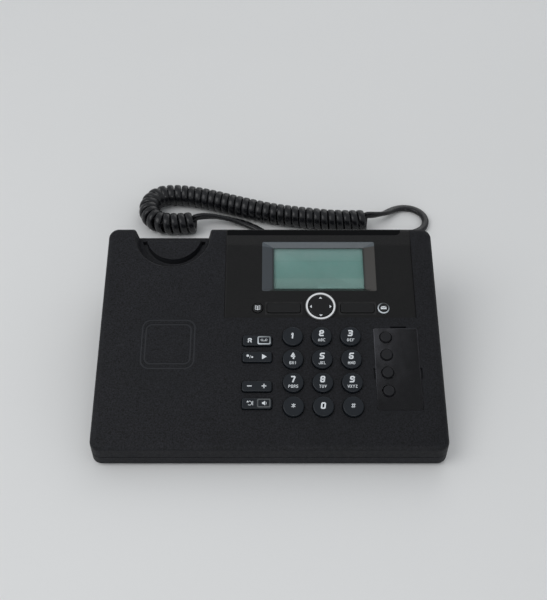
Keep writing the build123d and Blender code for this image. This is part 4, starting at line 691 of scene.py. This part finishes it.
def read_line(points, resolution=40):
    """Close points along a smooth open line that has a route's points as its control points."""
    curve = bpy.data.curves.new("route_reader", "CURVE")
    curve.dimensions = "3D"
    curve.resolution_u = resolution
    spline = curve.splines.new("NURBS")
    spline.points.add(len(points) - 1)
    for control, point in zip(spline.points, points):
        control.co = (*point, 1)
    spline.order_u = 3
    spline.use_endpoint_u = True
    carrier = placed("route_reader", curve)
    mesh = bpy.data.meshes.new_from_object(carrier)
    line = [v.co.copy() for v in mesh.vertices]
    bpy.data.objects.remove(carrier)
    bpy.data.curves.remove(curve)
    bpy.data.meshes.remove(mesh)
    return line


def even_frames(line, count):
    """Places and headings at a number of even distances along a line."""
    lengths = [0.0]
    for a, b in zip(line, line[1:]):
        lengths.append(lengths[-1] + (b - a).length)
    made, i = [], 0
    for k in range(count + 1):
        at = lengths[-1] * k / count
        while i < len(lengths) - 2 and lengths[i + 1] < at:
            i += 1
        share = (at - lengths[i]) / (lengths[i + 1] - lengths[i])
        made.append((line[i].lerp(line[i + 1], share), (line[i + 1] - line[i]).normalized()))
    return made


def line_length(line):
    return sum((b - a).length for a, b in zip(line, line[1:]))


def headings(line):
    """Way on at each point of a line."""
    ways = [line[min(i + 1, len(line) - 1)] - line[max(i - 1, 0)] for i in range(len(line))]
    return [way.normalized() for way in ways]


def flats(points):
    """Level ways across a line: the wire lies on its flat."""
    return [UPRIGHT.cross(way).normalized() for way in headings(points)]


def stood_up(ways, edge):
    """Ways of the wire's flat with the first one on edge and the next one half way up."""
    return [edge, (ways[1] + edge).normalized(), *ways[2:]]


def helix_points(line, radius, pitch):
    """Turns round a line, from its right side to its left side, and the line's headings beside them."""
    turns = round(line_length(line) / pitch - 0.5) + 0.5
    frames = even_frames(line, round(turns * COIL_POINTS))
    points = []
    for k, (centre, heading) in enumerate(frames):
        angle = math.pi + 2 * math.pi * k / COIL_POINTS
        side = UPRIGHT.cross(heading).normalized()
        points.append(centre + radius * (math.cos(angle) * side + math.sin(angle) * UPRIGHT))
    return points, [heading for _, heading in frames]


def add_skin(bm, rings):
    """Tube with flat ends over rings of vertices."""
    count = len(rings[0])
    for a, b in zip(rings, rings[1:]):
        for k in range(count):
            bm.faces.new((a[k], a[(k + 1) % count], b[(k + 1) % count], b[k]))
    bm.faces.new(rings[0][::-1])
    bm.faces.new(rings[-1])


def add_wire(bm, line, radius, sides=8):
    """Round wire along a few points."""
    section = [(*(radius * way), 0) for way in arc(0, 0, 1, 0, 360 / sides, sides)]
    rings = []
    for point, way in zip(line, headings(line)):
        turn = way.to_track_quat("Z", "Y")
        rings.append([bm.verts.new(point + turn @ Vector(place)) for place in section])
    add_skin(bm, rings)


def oval_tube(name, line, wide, width, thickness, sides=16, squareness=3.0):
    """Wire of oval section along close points; wide holds the ways of its flat, spread over the line."""
    bm = bmesh.new()
    section = []
    for x, y in arc(0, 0, 1, 0, 360 / sides, sides):
        reach = (abs(x) ** squareness + abs(y) ** squareness) ** (-1 / squareness)
        section.append((x * reach * width / 2, y * reach * thickness / 2))
    rings = []
    for i, (point, way) in enumerate(zip(line, headings(line))):
        at = i / (len(line) - 1) * (len(wide) - 1)
        before = min(int(at), len(wide) - 2)
        across = wide[before].lerp(wide[before + 1], at - before)
        across = (across - across.dot(way) * way).normalized()
        out = way.cross(across)
        rings.append([bm.verts.new(point + x * across + y * out) for x, y in section])
    add_skin(bm, rings)
    return mesh_from(name, bm)


# ----- Operators ------------------------------------------------------------------------------------
class PHONE_OT_case(bpy.types.Operator):
    """Finish the case, the display panel and the cradle"""

    bl_idname = "phone.case"
    bl_label = "Case and Panel"

    def execute(self, context):
        colours = context.scene.phone_colours
        low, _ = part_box("top_cover")
        rest = FACE @ on_face(low.x / MM + REST_INSET, REST_D, 0)
        half, floor, top = [size * MM for size in REST_GROOVES.values()]
        # Painted shade: the cover is darker towards its right and its front.
        painted_shade = (UP * 0.6 - ACROSS * 0.8, FACE @ on_face(0, REST_D, 0), 140 * MM, 0.72)
        # Painted highlight: the rest's grooves are paler, as if they catch the light.
        groove_highlight = (rest, half, half, floor, top)
        cover = textured_plastic("Cover plastic", colours.case, paler=groove_highlight, painted_shade=painted_shade)
        give(cover, "top_cover")
        give(textured_plastic("Case plastic", colours.case), "bottom_case")
        # Painted light: the hook plate is paler more than a millimetre below its top, lifting the shade in
        # the slot round it.
        flange_painted_light = (FACE @ face_top("hook_plate"), 60 * MM, 60 * MM, -20 * MM, -MM)
        finer = ((0.42, 0.52), (0.3 * MM, 0.03 * MM))
        plate = textured_plastic("Hook plate plastic", colours.case, *finer, paler=flange_painted_light)
        give(plate, "hook_plate")
        self.finish_panel(colours)
        self.make_rebate_shade(colours.rebate_shade)
        give(soft_rubber("Foot rubber", (0.022, 0.022, 0.023)), "rubber_feet")
        return {"FINISHED"}

    def finish_panel(self, colours):
        """Panel plastic, its painted reflection and painted highlights placed round what it holds."""
        recesses = []
        for node in ("soft_key_left", "soft_key_right"):
            middle, across, up = face_flat(node)
            recesses.append((FACE @ middle, across + KEY_RIM * MM, up + KEY_RIM * MM))
        brow_edge, left = on_face(0, BROW_END_D, 0).y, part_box("display_panel")[0].x
        finish = panel_finish("Panel plastic", colours.panel, colours.brow_reflection, brow_edge, left, recesses)
        give(finish, "display_panel")

    def make_rebate_shade(self, colour):
        """Painted shade: a near-black glossy strip laid in the rebate along the panel's rear edge, for the
        shadow in the rebate.
        """
        low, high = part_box("display_panel")
        left, right = low.x / MM + REBATE["left"], high.x / MM - REBATE["right"]
        corner = REBATE["corner"]
        outline = [(left, REBATE["start"]), (left, REBATE["end"])]
        outline += arc(right - corner, REBATE["end"] - corner, corner, 90, -7.5, 13)
        outline.append((right, REBATE["start"]))
        bm = bmesh.new()
        bm.faces.new([bm.verts.new(on_face(u, d, -REBATE["depth"])) for u, d in outline])
        tops = thicken(bm, SHADE_STRIP["thickness"] * MM)
        rim = [e for e in bm.edges if all(v in tops for v in e.verts)]
        bmesh.ops.bevel(bm, geom=rim, offset=SHADE_STRIP["edge"] * MM, segments=2, affect="EDGES")
        bmesh.ops.recalc_face_normals(bm, faces=bm.faces[:])
        mesh = mesh_from("brow_trim", bm)
        mesh.transform(FACE)
        gloss = satin_plastic("Trim gloss", colour, (0.20, 0.26), 0.1, 0.12)
        new_piece("brow_trim", mesh, "base", gloss)


class PHONE_OT_display(bpy.types.Operator):
    """Finish the bezel, the glass and the liquid crystal cell"""

    bl_idname = "phone.display"
    bl_label = "Display"

    def execute(self, context):
        colours = context.scene.phone_colours
        low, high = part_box("lcd_module")
        middle = (low + high) / 2
        give(bezel_plastic("Bezel plastic", colours.bezel, middle, GLASS_SIZE), "lcd_bezel")
        give(display_glass("Display glass"), "lcd_window")
        give(liquid_crystal("Liquid crystal", colours.display, middle, GLASS_SIZE), "lcd_module")
        return {"FINISHED"}


class PHONE_OT_keys(bpy.types.Operator):
    """Finish every key, the navigation ring and the light guides"""

    bl_idname = "phone.keys"
    bl_label = "Keys"

    def execute(self, context):
        colours = context.scene.phone_colours
        give(satin_plastic("Key plastic", colours.keys), *NUMBER_KEYS, *ROCKERS)
        give(satin_plastic("Memory key plastic", colours.memory_keys), *MEMORY_KEYS)
        panel_key = satin_plastic("Panel key plastic", colours.panel_keys, (0.34, 0.46))
        give(panel_key, "soft_key_left", "soft_key_right", "phonebook_key", "message_key", "nav_key")
        give(self.ring_silver(colours.ring), "nav_ring")
        # Painted light: each guide is brighter towards its lower left.
        lamps = (
            ("loop_light_frame", "Frame light guide", 3.5, 0.25),
            ("message_light_ring", "Ring light guide", 3.2, 0.05),
        )
        for node, name, reach, dark in lamps:
            lit = ((-0.45 * ACROSS - 0.9 * UP).normalized(), FACE @ face_top(node), reach * MM, dark)
            give(translucent_plastic(name, colours.light_guide, 1.0, 0.3, lit), node)
        unlit = translucent_plastic("Smoked light guide", [c * 0.12 for c in colours.light_guide], 1.0, 0.3)
        give(unlit, "speaker_light_frame")
        give(turned_metal("Pivot steel", (0.55, 0.55, 0.56)), "nav_pivot_ball")
        return {"FINISHED"}

    def ring_silver(self, colour):
        """Bright lacquer with painted shade along its outer edge."""
        ring = Finish("Ring silver", colour, Metallic=0.2)
        centre, reach, _ = face_flat("nav_ring")
        inputs = {0: ring.place, 1: FACE @ centre}
        out = ring.add("VectorMath", inputs, operation="DISTANCE").outputs["Value"]
        # Painted shade: the outer edge is darkened.
        edge = ring.spread(out, 0.0, 1.0, reach - 0.35 * MM, reach - 0.15 * MM)
        ring.veil(ring.mottle(1.5 * MM, 0.03), (0.05, 0.05, 0.05), edge)
        return ring.done((0.8 * MM, 0.26, 0.34), (0.4 * MM, 0.005 * MM, 0.2))


class PHONE_OT_legends(bpy.types.Operator):
    """Print the figures, letters and signs on the keys"""

    bl_idname = "phone.legends"
    bl_label = "Legends"

    def execute(self, context):
        white, relief = context.scene.phone_colours.legends, (0.2 * MM, 0.005 * MM, 0.3)
        ink = even_finish("Legend ink", white, (0.8 * MM, 0.06), (0.5 * MM, 0.42, 0.6), relief)
        self.print_numbers(context.scene.phone_sizes, ink)
        self.print_rockers(ink)
        self.print_panel(ink)
        return {"FINISHED"}

    def print_numbers(self, sizes, ink):
        weight, small = sizes.digit_weight / MM, sizes.letter_weight / MM
        for node, (figure, letters) in NUMBER_KEYS.items():
            lift = FIGURE_LIFT if letters else SIGN_LIFT
            share = 1.0 if figure.isdigit() else 0.8  # the signs are smaller and finer
            stroke = weight if figure.isdigit() else 0.45 * weight
            height, width = share * sizes.digit_height / MM, share * sizes.digit_width / MM
            runs = written(figure, height, width, stroke, 0, 0.12)
            strokes = [(moved(run, 0, lift), stroke) for run in runs]
            if letters:
                height = sizes.letter_height / MM
                words = written(letters, height, height * 0.62, small, 0.40, 0.06)
                strokes += [(moved(run, 0, -LETTER_DROP), small) for run in words]
            print_legend(f"legend_{node}", node, strokes, ink)

    def print_rockers(self, ink):
        letter = [(moved(run, -4.9, 0), 0.7) for run in written("R", 3.1, 2.6, 0.7, 0)]
        loops = [(circle(4.5 + side * 1.4, 0.25, 0.65), 0.26) for side in (-1, 1)]
        loops.append(([(3.1, -0.4), (5.9, -0.4)], 0.26))
        print_legend("legend_recall_loop", ROCKERS[0], letter + loops, ink)

        dot = (circle(-6.1, 0.7, 0.85)[:-1],)
        slash = ([(-4.95, -1.2), (-4.25, 1.0)], 0.24)
        square = ([(-3.75, -0.85), (-2.65, -0.85), (-2.65, 0.25), (-3.75, 0.25)],)
        play = ([(3.2, -1.85), (6.3, 0.0), (3.2, 1.85)],)
        print_legend("legend_record_play", ROCKERS[1], [dot, slash, square, play], ink)

        bars = [([(x - 1.5, 0), (x + 1.5, 0)], 0.62) for x in (-4.8, 4.6)]
        bars.append(([(4.6, -1.5), (4.6, 1.5)], 0.62))
        print_legend("legend_volume", ROCKERS[2], bars, ink)

        loop = arc(-4.5, 0, 1.35, 150, -20, 15)
        arrow = ([(-6.5, 0.55), (-4.95, 0.45), (-5.95, 1.75)],)
        bar = ([(-2.5, -1.4), (-2.5, 1.4)], 0.34)
        box = ([(3.4, -0.65), (4.2, -0.65), (4.2, 0.65), (3.4, 0.65)],)
        horn = ([(4.2, -0.65), (5.3, -1.5), (5.3, 1.5), (4.2, 0.65)],)
        wave = arc(4.6, 0, 1.5, -38, 19, 5)
        drawings = [(loop, 0.34), arrow, bar, box, horn, (wave, 0.28)]
        print_legend("legend_redial_speaker", ROCKERS[3], drawings, ink)

    def print_panel(self, ink):
        pages = []
        for side in (-1, 1):
            page = [(0.12, -1.5), (1.55, -1.2), (1.55, 1.5), (0.12, 1.2)]
            points = [(side * x, y) for x, y in page]
            pages.append((points + [points[0]], 0.34))
            pages += [([(side * 0.45, y), (side * 1.2, y + 0.1)], 0.22) for y in (-0.4, 0.4)]
        print_legend("legend_phonebook", "phonebook_key", pages, ink)

        envelope = [
            ([(-1.9, -1.1), (1.9, -1.1), (1.9, 0.7), (0, -0.4), (-1.9, 0.7)],),
            ([(-1.8, 1.1), (0, 0.0), (1.8, 1.1)],),
        ]
        print_legend("legend_message", "message_key", envelope, ink)

        heads = []
        for way in arc(0, 0, 1, 0, 90, 4):
            side = Vector((-way.y, way.x)) * ARROWS["half"]
            tip, back = way * ARROWS["tip"], way * ARROWS["back"]
            heads.append(([tip, back + side, back - side],))
        print_legend("legend_navigation", "nav_key", heads, ink, ARROWS["forward"])


class PHONE_OT_label(bpy.types.Operator):
    """Finish the label card and its clear window"""

    bl_idname = "phone.label"
    bl_label = "Label"

    def execute(self, context):
        colours = context.scene.phone_colours
        roughness, relief = (2 * MM, 0.6, 0.75), (0.5 * MM, 0.01 * MM, 0.3)
        card = even_finish("Label card", colours.label, (5 * MM, 0.12), roughness, relief, specular=0.3)
        give(card, "label_card")
        # Colours of the paler corner and of the painted highlights on the window's edges.
        pale_corner, rim = [c * 5.0 for c in colours.window], [c * 10 for c in colours.window]
        window = pale_corner_window("Label window", colours.window, pale_corner, rim, *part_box("label_window"))
        give(window, "label_window")
        return {"FINISHED"}


class PHONE_OT_inside(bpy.types.Operator):
    """Finish the boards, the loudspeaker, the sockets and the fasteners"""

    bl_idname = "phone.inside"
    bl_label = "Inside and Sockets"

    def execute(self, context):
        give(printed_board("Circuit board"), "key_board", "main_board", "hook_board")
        socket = satin_plastic("Socket plastic", (0.014, 0.014, 0.015), (0.35, 0.48))
        give(socket, "hook_switch", "handset_jack", "line_jack", "power_jack")
        give(soft_rubber("Key mat silicone", (0.075, 0.078, 0.085)), "keymat")
        give(ribbed_film("Ribbon film", (0.50, 0.47, 0.38)), "board_cable")
        give(soft_rubber("Loudspeaker cone paper", (0.030, 0.029, 0.027), (0.7, 0.9)), "loudspeaker")
        give(turned_metal("Clamp steel", (0.30, 0.30, 0.31), (0.35, 0.5)), "speaker_clamp")
        give(turned_metal("Capsule aluminium", (0.62, 0.62, 0.63)), "microphone")
        steel = turned_metal("Zinc-plated steel", (0.50, 0.50, 0.52))
        give(steel, "case_screws", "board_screws", "hook_spring")
        self.make_contacts(turned_metal("Contact gilding", (0.75, 0.52, 0.18), (0.2, 0.3)))
        return {"FINISHED"}

    def make_contacts(self, gilding):
        """Contact wires in the two modular sockets; the line socket's turn back into its mouth."""
        for node, (count, points) in CONTACTS.items():
            low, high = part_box(node)
            roof = high.z - CONTACT["under_roof"] * MM
            bm = bmesh.new()
            for i in range(count):
                x = (low.x + high.x) / 2 + (i - (count - 1) / 2) * CONTACT["pitch"] * MM
                line = [Vector((x, low.y + CONTACT["from_front"] * MM, roof))]
                line += [Vector((x, high.y - inward * MM, roof - down * MM)) for inward, down in points]
                add_wire(bm, line, CONTACT["radius"] * MM)
            name = f"{node}_contacts"
            new_piece(name, mesh_from(name, bm), "base", gilding, smooth=True)


class PHONE_OT_cord(bpy.types.Operator):
    """Make the curly handset cord and finish its plugs"""

    bl_idname = "phone.cord"
    bl_label = "Handset Cord"

    def execute(self, context):
        sizes = context.scene.phone_sizes
        black = context.scene.phone_colours.cord
        roughness, relief = (2.0 * MM, 0.24, 0.33), (0.8 * MM, 0.02 * MM, 0.3)
        jacket = even_finish("Cord jacket", black, (5 * MM, 0.12), roughness, relief, specular=0.42)
        plug = translucent_plastic("Plug plastic", (0.45, 0.48, 0.50), 0.75, 0.15)
        give(plug, "base_plug", "handset_plug")

        radius = (sizes.coil_diameter - sizes.cord_thickness) / 2
        cut_in = (3 + math.cos(2 * math.pi / COIL_POINTS)) / 4  # a NURBS line runs inside its control points
        lead, tail = route(LEAD_ROUTE)[:-1], route(TAIL_ROUTE)[1:]
        coil_line = read_line(route(COIL_ROUTE))
        turns, along = helix_points(coil_line, radius / cut_in, sizes.coil_pitch)
        line = read_line(lead + turns + tail, 3)
        # Beside the coil the wire stands on its edge.
        wide = stood_up(flats(lead)[::-1], UPRIGHT)[::-1] + along + stood_up(flats(tail), -UPRIGHT)
        mesh = oval_tube("handset_cord", line, wide, sizes.cord_width, sizes.cord_thickness)
        cord = new_piece("handset_cord", mesh, "base", jacket, smooth=True)
        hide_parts("cord_lead", "cord_coil", "cord_tail")
        return {"FINISHED"}


class PHONE_OT_stage(bpy.types.Operator):
    """Set up the floor, the lamps and the camera"""

    bl_idname = "phone.stage"
    bl_label = "Studio"

    def execute(self, context):
        scene, studio = context.scene, context.scene.phone_studio
        self.make_floor(context.scene.phone_colours.floor)
        self.make_world(scene, studio.world_strength)
        for name, (place, width) in LAMPS.items():
            self.make_lamp(f"{name}_lamp", place, width, getattr(studio, f"{name}_power"))
        camera = bpy.data.cameras.new("camera")
        camera.lens = studio.lens
        camera.sensor_width = SENSOR_WIDTH
        stand = placed("camera", camera)
        stand.location = CAMERA_PLACE
        stand.rotation_euler = (math.pi / 2 - studio.pitch, 0, 0)
        scene.camera = stand
        scene.view_settings.view_transform = "Standard"
        return {"FINISHED"}

    def make_floor(self, colour):
        bm = bmesh.new()
        ends = (-FLOOR_HALF_WIDTH, FLOOR_HALF_WIDTH)
        lines = [[bm.verts.new((x, y, z - FLOOR_GAP)) for x in ends] for y, z in FLOOR_PROFILE]
        for (a, b), (c, d) in zip(lines, lines[1:]):
            bm.faces.new((a, b, d, c))
        mesh = mesh_from("studio_floor", bm)
        floor = placed("studio_floor", mesh)
        paper = Finish("Studio paper", colour, 0.8)
        paper.mottle(0.4, 0.01)
        mesh.materials.append(paper.material)

    def make_world(self, scene, strength):
        world = bpy.data.worlds.new("studio_world")
        world.use_nodes = True
        background = world.node_tree.nodes["Background"]
        background.inputs["Color"].default_value = SKY
        background.inputs["Strength"].default_value = strength
        scene.world = world

    def make_lamp(self, name, place, size, power):
        lamp = bpy.data.lights.new(name, "AREA")
        lamp.shape = "DISK"
        lamp.size = size
        lamp.energy = power
        stand = placed(name, lamp)
        stand.location = place
        stand.rotation_euler = (-Vector(place)).to_track_quat("-Z", "Y").to_euler()


class PHONE_PT_panel(bpy.types.Panel):
    """Builds the telephone's looks"""

    bl_label = "Desk Telephone Base"
    bl_idname = "PHONE_PT_panel"
    bl_space_type = "VIEW_3D"
    bl_region_type = "UI"
    bl_category = "Telephone"

    def draw(self, context):
        layout = self.layout
        for operator in OPERATORS:
            layout.operator(operator.bl_idname)
        for group in (context.scene.phone_colours, context.scene.phone_sizes, context.scene.phone_studio):
            box = layout.box()
            for name in group.__annotations__:
                box.prop(group, name)


OPERATORS = [
    PHONE_OT_case, PHONE_OT_display, PHONE_OT_keys, PHONE_OT_legends, PHONE_OT_label,
    PHONE_OT_inside, PHONE_OT_cord, PHONE_OT_stage,
]
GROUPS = {"phone_colours": PhoneColours, "phone_sizes": PhoneSizes, "phone_studio": PhoneStudio}


def register():
    for item in [*GROUPS.values(), *OPERATORS, PHONE_PT_panel]:
        bpy.utils.register_class(item)
    for name, group in GROUPS.items():
        setattr(bpy.types.Scene, name, bpy.props.PointerProperty(type=group))


def unregister():
    for name in GROUPS:
        delattr(bpy.types.Scene, name)
    for item in [PHONE_PT_panel, *reversed(OPERATORS), *GROUPS.values()]:
        bpy.utils.unregister_class(item)


def main():
    register()
    bpy.ops.phone.case()
    bpy.ops.phone.display()
    bpy.ops.phone.keys()
    bpy.ops.phone.legends()
    bpy.ops.phone.label()
    bpy.ops.phone.inside()
    bpy.ops.phone.cord()
    bpy.ops.phone.stage()


if __name__ == "__main__":
    main()
